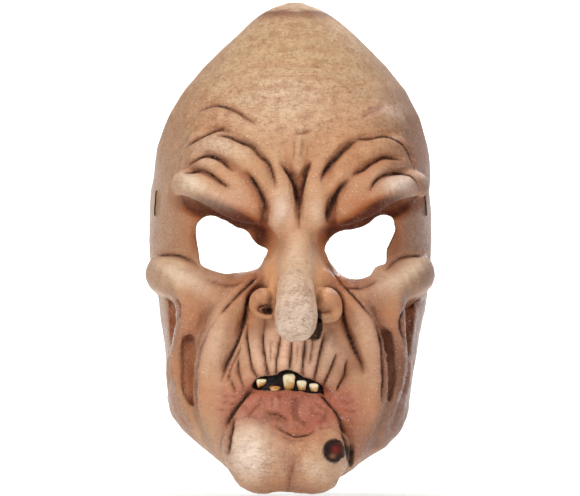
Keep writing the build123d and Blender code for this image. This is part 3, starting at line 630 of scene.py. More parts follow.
def crease_field(p, ny, y):
    """Displacement along the normal, how dark the groove is and the brown band beside it (partly wash, partly painted
    shade), for points seen from the front.
    """
    move = np.zeros(len(p))
    dark = np.zeros(len(p))
    stain = np.zeros(len(p))
    uneven = 0.82 + 0.42 * lattice_noise(np.stack([p[:, 0], y, p[:, 1]], 1), 5.0, 91, 2)
    facing = np.clip((-ny - 0.02) / 0.25, 0, 1)
    for width, depth, lip, y_min, points in CREASES:
        line = smooth_line(points, 1.5)
        m = 4.5 * width
        near = np.where((p[:, 0] > line[:, 0].min() - m) & (p[:, 0] < line[:, 0].max() + m)
                        & (p[:, 1] > line[:, 1].min() - m) & (p[:, 1] < line[:, 1].max() + m) & (y > y_min))[0]
        if not len(near):
            continue
        q = p[near]
        seg = np.linalg.norm(np.diff(line, axis=0), axis=1)
        run = np.concatenate([[0], np.cumsum(seg)]) / seg.sum()
        best = np.full(len(q), 1e9)
        where = np.zeros(len(q))
        for i in range(len(seg)):
            a, d = line[i], line[i + 1] - line[i]
            t = np.clip(((q - a) @ d) / max(d @ d, 1e-9), 0, 1)
            e = np.hypot(*(q - a - t[:, None] * d).T)
            closer = e < best
            best[closer] = e[closer]
            where[closer] = (run[i] + t * (run[i + 1] - run[i]))[closer]
        taper = np.clip(np.minimum(where, 1 - where) / 0.22, 0.0, 1) ** 0.6
        groove = np.exp(-(best / width) ** 2)
        side = np.exp(-((best - 2.3 * width) / (1.1 * width)) ** 2)
        f = facing[near]
        move[near] = np.minimum(move[near], -depth * groove * taper * f) + lip * side * taper * f * (groove < 0.2)
        strength = min(1.0, (depth / 1.35) ** 1.5)
        dark[near] = np.maximum(dark[near], np.exp(-(best / (0.66 * width)) ** 2) * taper * f * strength * uneven[near])
        # the brown band beside the groove: partly wash, partly painted shade
        stain[near] = np.maximum(stain[near], np.exp(-(best / (1.9 * width)) ** 2) * taper ** 0.5 * f * (0.35 + 0.65 * strength))
    return move, dark, stain


def soft(v, a, b):
    t = np.clip((v - a) / (b - a), 0, 1)
    return t * t * (3 - 2 * t)


def blob(x, z, cx, cz, rx, rz, turn=0.0):
    c, s = math.cos(turn), math.sin(turn)
    u = ((x - cx) * c + (z - cz) * s) / rx
    v = (-(x - cx) * s + (z - cz) * c) / rz
    return np.exp(-(u * u + v * v))


X, Y, Z = verts.T
plane = np.stack([X, Z], 1)
groove_move, groove_dark, groove_stain_and_shade = crease_field(plane, rest_normals[:, 1], Y)

# how hollow or proud the form is about each point
tangent = np.cross(rest_normals, np.array([0.0, 0.0, 1.0]))
tangent /= np.maximum(np.linalg.norm(tangent, axis=1), 1e-6)[:, None]
bitangent = np.cross(rest_normals, tangent)
proud = np.zeros(len(verts))
for reach, share in ((3.0, 0.5), (6.0, 0.5)):
    around = sum(sample(field, verts + d * reach) for d in (tangent, -tangent, bitangent, -bitangent)) / 4
    proud += share * around / reach
occlusion = np.clip(1 - sample(field, verts + rest_normals * 5.0) / 5.0, 0, 1)

# pebbled skin: strongest in the cheek hollows, over the cheekbones' inner ends and in the chin's dimple
pebble = (blob(X, Z, -50.89, -68.75, 7, 18) + blob(X, Z, 49.85, -68.75, 7, 18) + 0.8 * blob(X, Z, -58.12, -46.54, 7, 14) + 0.8 * blob(X, Z, 60.7, -46.54, 6, 12)
          + 0.8 * blob(X, Z, -40.04, -28.46, 11, 7) + 0.8 * blob(X, Z, 42.1, -28.97, 11, 7) + 0.9 * blob(X, Z, -0.26, -117.32, 6, 12)
          + 0.6 * blob(X, Z, 30.74, -104.92, 8, 12) + 0.85 * blob(X, Z, -0.26, -87.35, 25, 9) + 0.8 * blob(X, Z, 3.87, -97.69, 11, 7) + 0.6 * blob(X, Z, -34.36, -103.88, 8, 12) + 0.7 * blob(X, Z, -28.16, 20.1, 10, 6) + 0.5 * blob(X, Z, 4.91, -90.45, 18, 9))
pebble = np.clip(pebble, 0, 1)
bumps = lattice_noise(verts, 2.6, 5)
lumps = lattice_noise(verts, 11.0, 11, 2)
fine = lattice_noise(verts, 1.7, 23)
move = groove_move + 0.35 * lumps + pebble * 0.62 * bumps + 0.12 * fine
# slack vertical folding of the skin down the jaw and cheeks
streak = lattice_noise(np.stack([X * 1.0, Y * 1.0, Z * 0.22], 1), 3.2, 41)
move += 0.22 * streak * soft(-Z, 20, 60) * (1 - blob(X, Z, -0.26, -113.7, 30, 18))
temple = np.exp(-((Y - 34) / 11) ** 2 - ((Z - HINGE_Z) / 12) ** 2) * (np.abs(X) > 50)
move *= 1 - temple
move *= outer
verts = verts + rest_normals * move[:, None]


# ------------------------------------------------------------------ paint
def srgb(r, g, b):
    c = np.array([r, g, b]) / 255.0
    return np.where(c <= 0.04045, c / 12.92, ((c + 0.055) / 1.055) ** 2.4)


def paint_over(colour, rgb, amount):
    a = np.clip(amount, 0, 1)[:, None]
    return colour * (1 - a) + np.asarray(rgb)[None, :] * a


patchy = 0.5 + 0.5 * lattice_noise(verts, 14.0, 61, 3)
patchy2 = 0.5 + 0.5 * lattice_noise(verts, 6.0, 67, 2)
streaks = 0.5 + 0.5 * lattice_noise(np.stack([X, Y, Z * 0.25], 1), 4.0, 71, 2)
paint = np.tile(srgb(208, 164, 124), (len(verts), 1))
paint = paint_over(paint, srgb(202, 168, 130), soft(Z, 40, 100))
paint = paint_over(paint, srgb(196, 138, 98), 0.8 * soft(-Z, -62, -20) * soft(patchy, 0.25, 0.75))
paint = paint_over(paint, srgb(186, 128, 92), 0.45 * soft(-Z, 10, 50) * soft(streaks, 0.4, 0.7))
# warm glaze round the eyes, the nose and down the cheeks
warm = (1.0 * blob(X, Z, -35.39, 6.67, 24, 15) + 1.0 * blob(X, Z, 41.07, 5.64, 24, 15) + 0.9 * blob(X, Z, -14.72, -24.33, 9, 20) + 0.9 * blob(X, Z, 21.44, -23.29, 9, 20)
        + 0.8 * blob(X, Z, -46.75, -42.92, 14, 14) + 0.8 * blob(X, Z, 50.37, -42.92, 14, 14) + 0.8 * blob(X, Z, -50.89, -70.82, 8, 26) + 0.8 * blob(X, Z, 50.37, -70.82, 8, 26)
        + 0.7 * blob(X, Z, -21.96, 15.45, 12, 9) + 0.7 * blob(X, Z, 29.71, 14.42, 12, 9) + 0.45 * blob(X, Z, 3.87, 20.62, 14, 22) + 0.6 * blob(X, Z, 25.57, 56.78, 26, 16)
        + 0.6 * blob(X, Z, -33.84, 60.4, 20, 9) + 0.5 * blob(X, Z, 0.77, -60.49, 26, 14) + 0.6 * blob(X, Z, 42.1, 36.12, 22, 7) + 0.5 * blob(X, Z, -41.59, 35.09, 16, 6)
        + 0.6 * blob(X, Z, 4.91, -108.53, 18, 9) + 0.6 * blob(X, Z, -22.99, -54.29, 8, 26) + 0.6 * blob(X, Z, 28.16, -56.87, 8, 26))
paint = paint_over(paint, srgb(178, 104, 60), 0.75 * np.clip(warm, 0, 1) * (0.45 + 0.55 * patchy2))
# rust-brown in the hollows (outer eye corners, cheek pits and hollows, under the eyes, beside the nose root, chin
# dimple): partly the mask's own wash, partly painted shade
rust_wash_and_shade = (0.9 * blob(X, Z, -49.85, -3.66, 4.5, 12) + 0.95 * blob(X, Z, 55.54, -2.63, 5, 12) + 0.9 * blob(X, Z, -61.74, -46.54, 4.5, 13) + 1.0 * blob(X, Z, 62.25, -46.54, 5, 14)
        + 1.0 * blob(X, Z, -52.44, -69.79, 3.6, 16) + 1.0 * blob(X, Z, 49.85, -67.72, 3.6, 15) + 0.8 * blob(X, Z, -26.09, -21.74, 18, 4) + 0.9 * blob(X, Z, 31.77, -23.81, 18, 4)
        + 0.8 * blob(X, Z, -0.26, -120.42, 5, 9) + 0.6 * blob(X, Z, -13.69, -12.96, 4, 10) + 0.7 * blob(X, Z, 19.37, -12.96, 4, 10) + 0.7 * blob(X, Z, -43.65, -18.13, 5, 5) + 0.7 * blob(X, Z, 52.95, -13.99, 6, 5)
        + 0.8 * blob(X, Z, 42.1, -33.62, 6, 9) + 0.5 * blob(X, Z, -35.39, -28.46, 8, 6) + 0.5 * blob(X, Z, 31.77, -101.82, 7, 14) + 0.6 * blob(X, Z, -34.36, -101.82, 5, 12))
paint = paint_over(paint, srgb(138, 66, 36), 0.85 * np.clip(rust_wash_and_shade, 0, 1) * (0.7 + 0.3 * patchy2))
# painted shade under the brow ledges and beside the root of the nose: red-brown deepening to dark brown
brow_underside_shade = np.clip(1.25 * blob(X, Z, -42.1, 13.39, 16, 5.6, -0.30) + 1.25 * blob(X, Z, 51.4, 14.16, 16, 5.8, 0.30) + 1.0 * blob(X, Z, -27.12, 7.19, 10, 3.6, -0.3) + 0.9 * blob(X, Z, 33.84, 5.64, 12, 3.4, 0.2)
                + 0.9 * blob(X, Z, -14.72, -2.63, 5, 7) + 0.9 * blob(X, Z, 19.89, -1.59, 5, 6), 0, 1)
paint = paint_over(paint, srgb(168, 92, 50), 0.85 * soft(brow_underside_shade, 0.04, 0.35))
paint = paint_over(paint, srgb(78, 28, 18), 0.96 * soft(brow_underside_shade, 0.22, 0.72))
# painted shade: hollows darkened brown by how concave the form is, and to near black where the form closes over them
paint = paint_over(paint, srgb(170, 98, 56), 0.70 * soft(-proud, 0.03, 0.30))
paint = paint_over(paint, srgb(112, 50, 28), 0.80 * soft(occlusion, 0.26, 0.70))
paint = paint_over(paint, srgb(18, 9, 9), 0.94 * soft(occlusion, 0.60, 0.90))
# lips
lip = np.clip(1.35 * blob(X, Z, -0.26, -86.84, 25, 9.5) + 1.0 * blob(X, Z, 3.87, -97.69, 12, 7.5) + 0.7 * blob(X, Z, -19.89, -89.42, 7, 8) + 0.7 * blob(X, Z, 20.41, -90.45, 8, 8), 0, 1)
paint = paint_over(paint, srgb(178, 84, 68), 0.9 * lip * (0.65 + 0.35 * patchy2))
paint = paint_over(paint, srgb(116, 46, 36), 0.7 * lip * soft(lattice_noise(verts, 4.4, 83, 2), 0.05, 0.45))
paint = paint_over(paint, srgb(160, 58, 34), 0.8 * blob(X, Z, -1.29, -81.15, 22, 2.2))
paint = paint_over(paint, srgb(176, 92, 74), 0.6 * (blob(X, Z, -31.77, -87.87, 7, 12) + blob(X, Z, 30.74, -91.49, 8, 14)))
paint = paint_over(paint, srgb(180, 100, 78), 0.45 * blob(X, Z, -0.26, -74.95, 28, 5))
# pale paint over what stands proud: partly the mask's own pale paint, partly painted highlight
proud_here = soft(proud, 0.04, 0.20)
bone_and_highlight = (1.1 * blob(X, Z, -51.92, 26.3, 10, 7) + 1.0 * blob(X, Z, 59.67, 26.3, 11, 6) + 0.7 * blob(X, Z, -40.55, 43.87, 16, 7) + 0.5 * blob(X, Z, -32.29, 19.59, 12, 6)
        + 1.0 * blob(X, Z, -63.29, -18.13, 13, 8) + 0.85 * blob(X, Z, 63.8, -18.13, 13, 8) + 0.8 * blob(X, Z, -48.82, -24.33, 10, 6) + 0.75 * blob(X, Z, 49.34, -24.84, 10, 6)
        + 1.7 * blob(X, Z, 1.29, -38.79, 11, 17) * (Y < -40) + 0.8 * blob(X, Z, 2.84, -13.99, 6, 16) * (Y < -14)
        + 1.25 * blob(X, Z, -20.92, -112.15, 14, 15) + 0.75 * blob(X, Z, 16.27, -120.42, 13, 9) + 0.6 * blob(X, Z, -38.49, -56.87, 7, 22) + 0.5 * blob(X, Z, 40.04, -56.87, 7, 22)
        + 0.5 * blob(X, Z, -5.42, 11.84, 5, 8) + 0.45 * blob(X, Z, 12.66, 11.84, 5, 8) + 0.6 * blob(X, Z, -4.39, 61.43, 34, 13) + 0.85 * blob(X, Z, -2.32, -60.49, 24, 10) + 0.5 * blob(X, Z, -10.59, -23.29, 5, 9) + 0.4 * blob(X, Z, 16.27, -23.29, 5, 8))
paint = paint_over(paint, srgb(238, 216, 190), 0.95 * np.clip(bone_and_highlight, 0, 1) * (0.45 + 0.55 * proud_here))
# local touches of paint: painted light on the nose sides and the muzzle, painted shade in the cheek pits, under the
# left brow and down the flanks, the right one darkest
# painted light: lighter paint on the sides of the nose and on the muzzle, lifting the shade that falls there under the
# nose
paint = paint_over(paint, srgb(244, 178, 124), 0.80 * np.clip(blob(X, Z, -10.07, -22.78, 4.2, 13) + blob(X, Z, 15.76, -22.78, 4.2, 13), 0, 1) * outer)
paint = paint_over(paint, srgb(248, 202, 170), 0.80 * np.clip(blob(X, Z, -2.32, -60.49, 25, 12) + 0.7 * blob(X, Z, 13.17, -59.46, 10, 10), 0, 1) * (Y > -44) * outer)
paint = paint_over(paint, srgb(232, 208, 182), 0.40 * blob(X, Z, -2.84, 73.83, 32, 12) * outer)
paint = paint_over(paint, srgb(240, 214, 196), 0.45 * blob(X, Z, -4.91, 14.94, 5, 8) * outer)
paint = paint_over(paint, srgb(128, 86, 70), 0.50 * blob(X, Z, 37.97, -108.53, 9, 11) * outer)
paint = paint_over(paint, srgb(214, 190, 176), 0.80 * np.clip(blob(X, Z, 2.84, -40.86, 10.5, 13), 0, 1) * (Y < -42) * outer)
# more pale paint on the left chin lobe and the right brow bulb: partly the mask's own pale paint, partly painted
# highlight
paint = paint_over(paint, srgb(252, 232, 218), 0.75 * blob(X, Z, -21.96, -114.22, 9, 9) * outer)
paint = paint_over(paint, srgb(248, 226, 214), 0.60 * blob(X, Z, 58.64, 26.82, 9, 5) * outer)
paint = paint_over(paint, srgb(178, 126, 92), 0.45 * np.clip(blob(X, Z, -46.75, -28.46, 9, 7) + blob(X, Z, 48.3, -28.46, 9, 7) + 0.7 * blob(X, Z, 41.07, -56.87, 7, 20), 0, 1) * (0.4 + 0.6 * patchy2) * outer)
paint = paint_over(paint, srgb(184, 126, 100), 0.60 * blob(X, Z, 52.95, -70.82, 2.6, 12) * outer)
# painted shade: dark brown in the cheek pits, the right one darker, and under the left brow
paint = paint_over(paint, srgb(150, 80, 36), 0.45 * blob(X, Z, -60.7, -46.54, 4.5, 12) * outer)
paint = paint_over(paint, srgb(96, 38, 20), 0.60 * blob(X, Z, 62.25, -46.54, 4.5, 12) * outer)
paint = paint_over(paint, srgb(96, 44, 28), 0.55 * np.clip(blob(X, Z, -43.65, 11.32, 9, 3, -0.3) + 0.8 * blob(X, Z, -33.32, 9.77, 9, 3, -0.3), 0, 1) * (0.55 + 0.45 * patchy2) * outer)
# painted shade: faces turned sideways are darker, the right side more than the left, and the lower cheeks and the right
# jaw darker still
side = soft(np.abs(rest_normals[:, 0]), 0.50, 0.95) * soft(np.abs(X), 24, 40)
paint = paint_over(paint, srgb(156, 118, 88), 0.70 * side * (X < 0))
paint = paint_over(paint, srgb(104, 68, 54), 0.80 * side * (X > 0))
paint = paint_over(paint, srgb(120, 74, 56), 0.80 * soft(X, 38, 58) * soft(-Z, 35, 75))
paint = paint_over(paint, srgb(150, 96, 66), 0.5 * soft(-X, 44, 64) * soft(-Z, 60, 100))
paint = paint_over(paint, srgb(84, 48, 38), 0.60 * blob(X, Z, 59.15, -74.95, 4, 18) * outer)
# the wart
wart = soft(7.0 - np.hypot(X - WART[0], Z - WART[1]), 0.0, 1.4) * (Y < wart_y + 2.0) * (Y > wart_y - 8)
paint = paint_over(paint, srgb(26, 8, 7), 1.0 * wart)
paint = paint_over(paint, srgb(128, 34, 20), 0.8 * wart * blob(X, Z, WART[0] + 0.6, WART[1] + 0.6, 2.0, 2.2))
paint = paint_over(paint, srgb(168, 120, 88), 0.7 * wart * blob(X, Z, WART[0] - 1.0, WART[1] - 2.6, 1.5, 1.1))
# the grooves are darkened, brown beside each and near black at the bottom: partly a dark wash, partly painted shade
groove_wash_and_shade = np.clip(groove_dark * outer, 0, 1)
paint = paint_over(paint, srgb(168, 96, 56), 0.60 * groove_stain_and_shade * outer * (0.5 + 0.5 * patchy2))
paint = paint_over(paint, srgb(104, 46, 28), 0.70 * soft(groove_wash_and_shade, 0.06, 0.45))
paint = paint_over(paint, srgb(13, 8, 10), 0.98 * soft(groove_wash_and_shade, 0.36, 0.70))
# painted shade: near black in the nostrils, below the right nose wing and in the deep gap beside the right chin lobe
deep_gap_shade = np.clip(1.6 * blob(X, Z, 31, -114.22, 1.7, 5.5) * (Y > skin_front(26.61, -113.7) + 2) + 1.6 * blob(X, Z, 14.21, -44.47, 1.9, 5.6) * (Y > -42) + 1.6 * blob(X, Z, 14.21, -49.12, 1.7, 3.2) * (Y > -42) + 1.8 * blob(X, Z, -12.14, -39.31, 2.8, 1.6) * (Y > -28.5) + 1.4 * blob(X, Z, 11.62, -52.74, 2.6, 1.8) * (Y > -42), 0, 1) * outer
paint = paint_over(paint, srgb(10, 6, 7), 0.97 * soft(deep_gap_shade, 0.25, 0.7))
# unpainted latex on the inside
paint = paint_over(paint, srgb(206, 182, 146), 1 - outer)

gloss = np.clip(0.75 * soft(groove_wash_and_shade, 0.03, 0.2) + 0.9 * np.clip(lip, 0, 1) + 0.8 * pebble + 0.7 * blob(X, Z, 3.87, 28.37, 16, 26) + 0.7 * blob(X, Z, -26.09, 20.62, 20, 10)
                + 0.6 * blob(X, Z, 33.32, 23.2, 20, 12) + 0.6 * blob(X, Z, 45.2, 64.53, 16, 12) + 0.6 * blob(X, Z, 0.77, -59.46, 26, 14) + 0.4 * blob(X, Z, -39, 43.87, 18, 12)
                + 0.5 * blob(X, Z, 15.24, -116.28, 14, 12) + 0.4 * wart + 0.55 * soft(-Z, -70, -20) * (1 - 0.7 * np.clip(bone_and_highlight, 0, 1)), 0, 1) * (1 - 0.9 * soft(brow_underside_shade, 0.05, 0.4)) * (1 - 0.6 * wart) * outer * (1 - 0.9 * soft(groove_wash_and_shade, 0.3, 0.6)) * (1 - 0.8 * soft(deep_gap_shade, 0.2, 0.6)) * (1 - 0.6 * soft(occlusion, 0.5, 0.8))
fleck = np.clip(0.9 * soft(Z, 25, 75) + 1.0 * blob(X, Z, 2.32, -36.21, 11, 19) * (Y < -34) + 0.5 * side + 0.6 * blob(X, Z, -5.42, -117.32, 24, 12) + 0.35, 0, 1) * outer * (1 - 0.9 * wart)
inside = (1 - outer) * (outer_value < -0.4)


# ------------------------------------------------------------------ meshes
def build(name, co, faces, smooth=True, scale=MM, closed=True):
    if closed:          # faces look outward
        at, volume = np.asarray(co, float), 0.0
        for size in {len(f) for f in faces}:
            ring = np.array([f for f in faces if len(f) == size], int)
            for k in range(1, size - 1):
                volume += float((at[ring[:, 0]] * np.cross(at[ring[:, k]], at[ring[:, k + 1]])).sum())
        if volume < 0:
            faces = [tuple(f)[::-1] for f in faces]
    me = bpy.data.meshes.new(name)
    me.from_pydata((np.asarray(co) * scale).tolist(), [], [list(map(int, f)) for f in faces])
    me.validate()
    me.update()
    if smooth:
        me.polygons.foreach_set("use_smooth", np.ones(len(me.polygons), bool))
    ob = bpy.data.objects.new(name, me)
    bpy.context.scene.collection.objects.link(ob)
    return ob


def number(ob, name, values):
    at = ob.data.attributes.new(name, "FLOAT", "POINT")
    at.data.foreach_set("value", np.asarray(values, np.float32))


def tint(ob, name, rgb):
    at = ob.data.attributes.new(name, "FLOAT_COLOR", "POINT")
    full = np.ones((len(rgb), 4), np.float32)
    full[:, :3] = rgb
    at.data.foreach_set("color", full.ravel())


shell = build("latex_skin", verts, quads)
tint(shell, "Paint", paint)
number(shell, "Gloss", gloss)
number(shell, "Fleck", fleck)
number(shell, "Inside", inside)
number(shell, "GrooveWashAndShade", groove_wash_and_shade)


# ------------------------------------------------------------------ materials
def material(name):
    m = bpy.data.materials.new(name)
    m.use_nodes = True
    nt = m.node_tree
    shader = nt.nodes["Principled BSDF"]
    return m, nt, shader


def node(nt, kind, **settings):
    n = nt.nodes.new(kind)
    for key, value in settings.items():
        if key in n.inputs:
            n.inputs[key].default_value = value
        else:
            setattr(n, key, value)
    return n


def where(nt):
    return nt.nodes.new("ShaderNodeTexCoord").outputs["Object"]


def noise(nt, coord, scale, detail=3.0, rough=0.55, distort=0.0):
    n = nt.nodes.new("ShaderNodeTexNoise")
    n.inputs["Scale"].default_value = scale
    n.inputs["Detail"].default_value = detail
    n.inputs["Roughness"].default_value = rough
    n.inputs["Distortion"].default_value = distort
    nt.links.new(coord, n.inputs["Vector"])
    return n.outputs["Fac"] if "Fac" in n.outputs else n.outputs[0]


def ramp(nt, source, stops):
    r = nt.nodes.new("ShaderNodeMapRange")
    r.inputs["From Min"].default_value, r.inputs["From Max"].default_value = stops[0], stops[1]
    r.inputs["To Min"].default_value, r.inputs["To Max"].default_value = stops[2], stops[3]
    nt.links.new(source, r.inputs["Value"])
    return r.outputs["Result"]


def maths(nt, op, a, b):
    n = nt.nodes.new("ShaderNodeMath")
    n.operation = op
    n.use_clamp = op == "MULTIPLY" or op == "ADD"
    for i, v in enumerate((a, b)):
        if isinstance(v, (int, float)):
            n.inputs[i].default_value = v
        else:
            nt.links.new(v, n.inputs[i])
    return n.outputs[0]


def mix(nt, fac, a, b, how="MIX"):
    n = nt.nodes.new("ShaderNodeMix")
    n.data_type = "RGBA"
    n.blend_type = how
    n.clamp_factor = True
    for key, v in ((0, fac), (6, a), (7, b)):
        if isinstance(v, (int, float)):
            n.inputs[key].default_value = v
        elif isinstance(v, (tuple, list, np.ndarray)):
            n.inputs[key].default_value = (*[float(c) for c in v[:3]], 1.0)
        else:
            nt.links.new(v, n.inputs[key])
    return n.outputs[2]


def bump(nt, height, distance, strength=1.0, below=None):
    b = nt.nodes.new("ShaderNodeBump")
    b.inputs["Distance"].default_value = distance
    b.inputs["Strength"].default_value = strength
    nt.links.new(height, b.inputs["Height"])
    if below is not None:
        nt.links.new(below, b.inputs["Normal"])
    return b.outputs["Normal"]


def attribute(nt, name, output="Fac"):
    a = nt.nodes.new("ShaderNodeAttribute")
    a.attribute_name = name
    return a.outputs[output]


def voronoi(nt, coord, scale, feature="F1", jitter=1.0):
    v = nt.nodes.new("ShaderNodeTexVoronoi")
    v.feature = feature
    v.inputs["Scale"].default_value = scale
    v.inputs["Randomness"].default_value = jitter
    nt.links.new(coord, v.inputs["Vector"])
    return v.outputs["Distance"]


def warped(nt, coord, scale, amount):
    """Coordinates pushed about by noise, so that cells lose their straight sides."""
    n = nt.nodes.new("ShaderNodeTexNoise")
    n.inputs["Scale"].default_value = scale
    n.inputs["Detail"].default_value = 2.0
    nt.links.new(coord, n.inputs["Vector"])
    v = nt.nodes.new("ShaderNodeVectorMath")
    v.operation = "MULTIPLY_ADD"
    nt.links.new(n.outputs["Color"], v.inputs[0])
    v.inputs[1].default_value = (amount, amount, amount)
    nt.links.new(coord, v.inputs[2])
    return v.outputs[0]


# painted latex
skin, nt, shader = material("painted_latex")
obj = where(nt)
coord = warped(nt, obj, 260, 0.0022)
paint_colour = attribute(nt, "Paint", "Color")
fleck_amount = attribute(nt, "Fleck")
gloss_amount = attribute(nt, "Gloss")
groove_wash_and_shade_amount = attribute(nt, "GrooveWashAndShade")
inside_amount = attribute(nt, "Inside")
tone = noise(nt, obj, 190, 4.0, 0.6)
c = mix(nt, maths(nt, "MULTIPLY", ramp(nt, tone, (0.42, 0.66, 0.0, 0.42)), fleck_amount), paint_colour, srgb(158, 98, 60), "MIX")
cells = ramp(nt, voronoi(nt, coord, 420, "DISTANCE_TO_EDGE"), (0.02, 0.20, 1.0, 0.0))       # sponge marks, about 2.4 mm across
patches = ramp(nt, noise(nt, obj, 120, 3.0, 0.6), (0.42, 0.62, 0.0, 1.0))
marks = maths(nt, "MULTIPLY", maths(nt, "MULTIPLY", cells, patches), fleck_amount)
c = mix(nt, maths(nt, "MULTIPLY", marks, 0.26), c, srgb(126, 84, 56))
flat = nt.nodes.new("ShaderNodeVectorMath")
flat.operation = "MULTIPLY"
nt.links.new(coord, flat.inputs[0])
flat.inputs[1].default_value = (0.45, 0.45, 1.5)
dabs = ramp(nt, noise(nt, flat.outputs[0], 620, 4.0, 0.65), (0.52, 0.66, 0.0, 1.0))          # brush dabs, drawn out sideways
c = mix(nt, maths(nt, "MULTIPLY", maths(nt, "MULTIPLY", dabs, fleck_amount), 0.55), c, srgb(140, 92, 62))
specks = ramp(nt, noise(nt, coord, 950, 3.0, 0.7), (0.56, 0.68, 0.0, 1.0))
c = mix(nt, maths(nt, "MULTIPLY", maths(nt, "MULTIPLY", specks, fleck_amount), 0.62), c, srgb(122, 82, 62))
pale = ramp(nt, noise(nt, coord, 640, 3.0, 0.6), (0.55, 0.75, 0.0, 0.26))
c = mix(nt, maths(nt, "MULTIPLY", pale, fleck_amount), c, srgb(234, 208, 176))
painted_glints = ramp(nt, noise(nt, coord, 1150, 2.0, 0.6), (0.645, 0.70, 0.0, 1.0))          # painted highlights: tiny white glints over the glossy parts
c = mix(nt, maths(nt, "MULTIPLY", maths(nt, "MULTIPLY", painted_glints, ramp(nt, gloss_amount, (0.35, 0.9, 0.0, 1.0))), 0.42), c, srgb(246, 236, 232))
nt.links.new(c, shader.inputs["Base Color"])
grain = noise(nt, obj, 760, 4.0, 0.68)
rough = maths(nt, "ADD", ramp(nt, gloss_amount, (0.0, 1.0, 0.50, 0.20)), ramp(nt, grain, (0.3, 0.7, -0.04, 0.12)))
nt.links.new(rough, shader.inputs["Roughness"])
nt.links.new(ramp(nt, gloss_amount, (0.12, 1.0, 0.0, 0.85)), shader.inputs["Coat Weight"])
shader.inputs["Coat Roughness"].default_value = 0.06
shader.inputs["Specular IOR Level"].default_value = 0.08
pores = noise(nt, obj, 1500, 3.0, 0.6)
pebbles = voronoi(nt, coord, 560)
relief_fine = bump(nt, pores, 0.0003, 0.9)
relief_mid = bump(nt, ramp(nt, pebbles, (0.0, 0.7, 0.0, 1.0)), 0.0003, 0.7, relief_fine)
relief = bump(nt, grain, 0.0008, 0.8, relief_mid)
nt.links.new(relief, shader.inputs["Normal"])
glints = bump(nt, noise(nt, obj, 880, 2.0, 0.5), 0.0026, 1.0, relief)          # beads in the varnish
nt.links.new(glints, shader.inputs["Coat Normal"])
shell.data.materials.append(skin)
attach(shell, "face")
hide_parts("latex_face_shell")

# gums and the dark inside the mouth
gum_look, nt, shader = material("painted_gum")
obj = where(nt)
c = mix(nt, ramp(nt, noise(nt, obj, 300, 3.0), (0.35, 0.7, 0.0, 1.0)), srgb(6, 4, 4), srgb(34, 13, 13))
nt.links.new(c, shader.inputs["Base Color"])
nt.links.new(ramp(nt, noise(nt, obj, 500, 2.0), (0.3, 0.7, 0.16, 0.4)), shader.inputs["Roughness"])
shader.inputs["Coat Weight"].default_value = 0.12
shader.inputs["Coat Roughness"].default_value = 0.1
shader.inputs["Specular IOR Level"].default_value = 0.06
gum_bump = bump(nt, noise(nt, obj, 520, 3.0, 0.6), 0.0009, 0.9)
nt.links.new(gum_bump, shader.inputs["Normal"])
nt.links.new(gum_bump, shader.inputs["Coat Normal"])

# stained teeth: ivory at the root, brown and orange towards the biting edge, grime in the pits
tooth_look, nt, shader = material("stained_tooth")
obj = where(nt)
stain = maths(nt, "ADD", attribute(nt, "Stain"), ramp(nt, noise(nt, obj, 520, 3.0, 0.6), (0.3, 0.7, -0.2, 0.2)))
c = mix(nt, ramp(nt, stain, (0.30, 0.72, 0.0, 1.0)), srgb(246, 232, 190), srgb(214, 148, 62))
c = mix(nt, ramp(nt, stain, (0.70, 1.08, 0.0, 0.85)), c, srgb(122, 62, 26))
c = mix(nt, attribute(nt, "Grime"), c, srgb(40, 24, 16))
nt.links.new(c, shader.inputs["Base Color"])
nt.links.new(ramp(nt, noise(nt, obj, 800, 2.0), (0.3, 0.7, 0.14, 0.34)), shader.inputs["Roughness"])
shader.inputs["Coat Weight"].default_value = 0.5
shader.inputs["Coat Roughness"].default_value = 0.06
nt.links.new(bump(nt, noise(nt, obj, 700, 3.0, 0.6), 0.0003, 0.7), shader.inputs["Normal"])

# woven elastic: ribs along it, yarns across it
elastic_look, nt, shader = material("woven_elastic")
run = attribute(nt, "Run")
across = attribute(nt, "Across")
wave = nt.nodes.new("ShaderNodeMath")
wave.operation = "SINE"
nt.links.new(maths(nt, "MULTIPLY", run, 1.0), wave.inputs[0])
wave.inputs[0].default_value = 0
for link in list(wave.inputs[0].links):
    nt.links.remove(link)
turns = nt.nodes.new("ShaderNodeMath")
turns.operation = "MULTIPLY"
nt.links.new(run, turns.inputs[0])
turns.inputs[1].default_value = 2 * math.pi / 0.8            # one pick every 0.8 mm
nt.links.new(turns.outputs[0], wave.inputs[0])
shift = nt.nodes.new("ShaderNodeMath")
shift.operation = "MULTIPLY"
nt.links.new(across, shift.inputs[0])
shift.inputs[1].default_value = 2 * math.pi / 1.1
cross = nt.nodes.new("ShaderNodeMath")
cross.operation = "SINE"
nt.links.new(shift.outputs[0], cross.inputs[0])
weave = nt.nodes.new("ShaderNodeMath")
weave.operation = "MULTIPLY_ADD"
nt.links.new(wave.outputs[0], weave.inputs[0])
nt.links.new(cross.outputs[0], weave.inputs[1])
weave.inputs[2].default_value = 0.0
c = mix(nt, ramp(nt, weave.outputs[0], (-1.0, 1.0, 0.0, 1.0)), srgb(18, 18, 20), srgb(52, 51, 54))
c = mix(nt, ramp(nt, noise(nt, where(nt), 900, 3.0), (0.5, 0.75, 0.0, 0.4)), c, srgb(84, 82, 84))
nt.links.new(c, shader.inputs["Base Color"])
shader.inputs["Roughness"].default_value = 0.78
shader.inputs["Sheen Weight"].default_value = 0.25
nt.links.new(bump(nt, weave.outputs[0], 0.0002, 0.9), shader.inputs["Normal"])

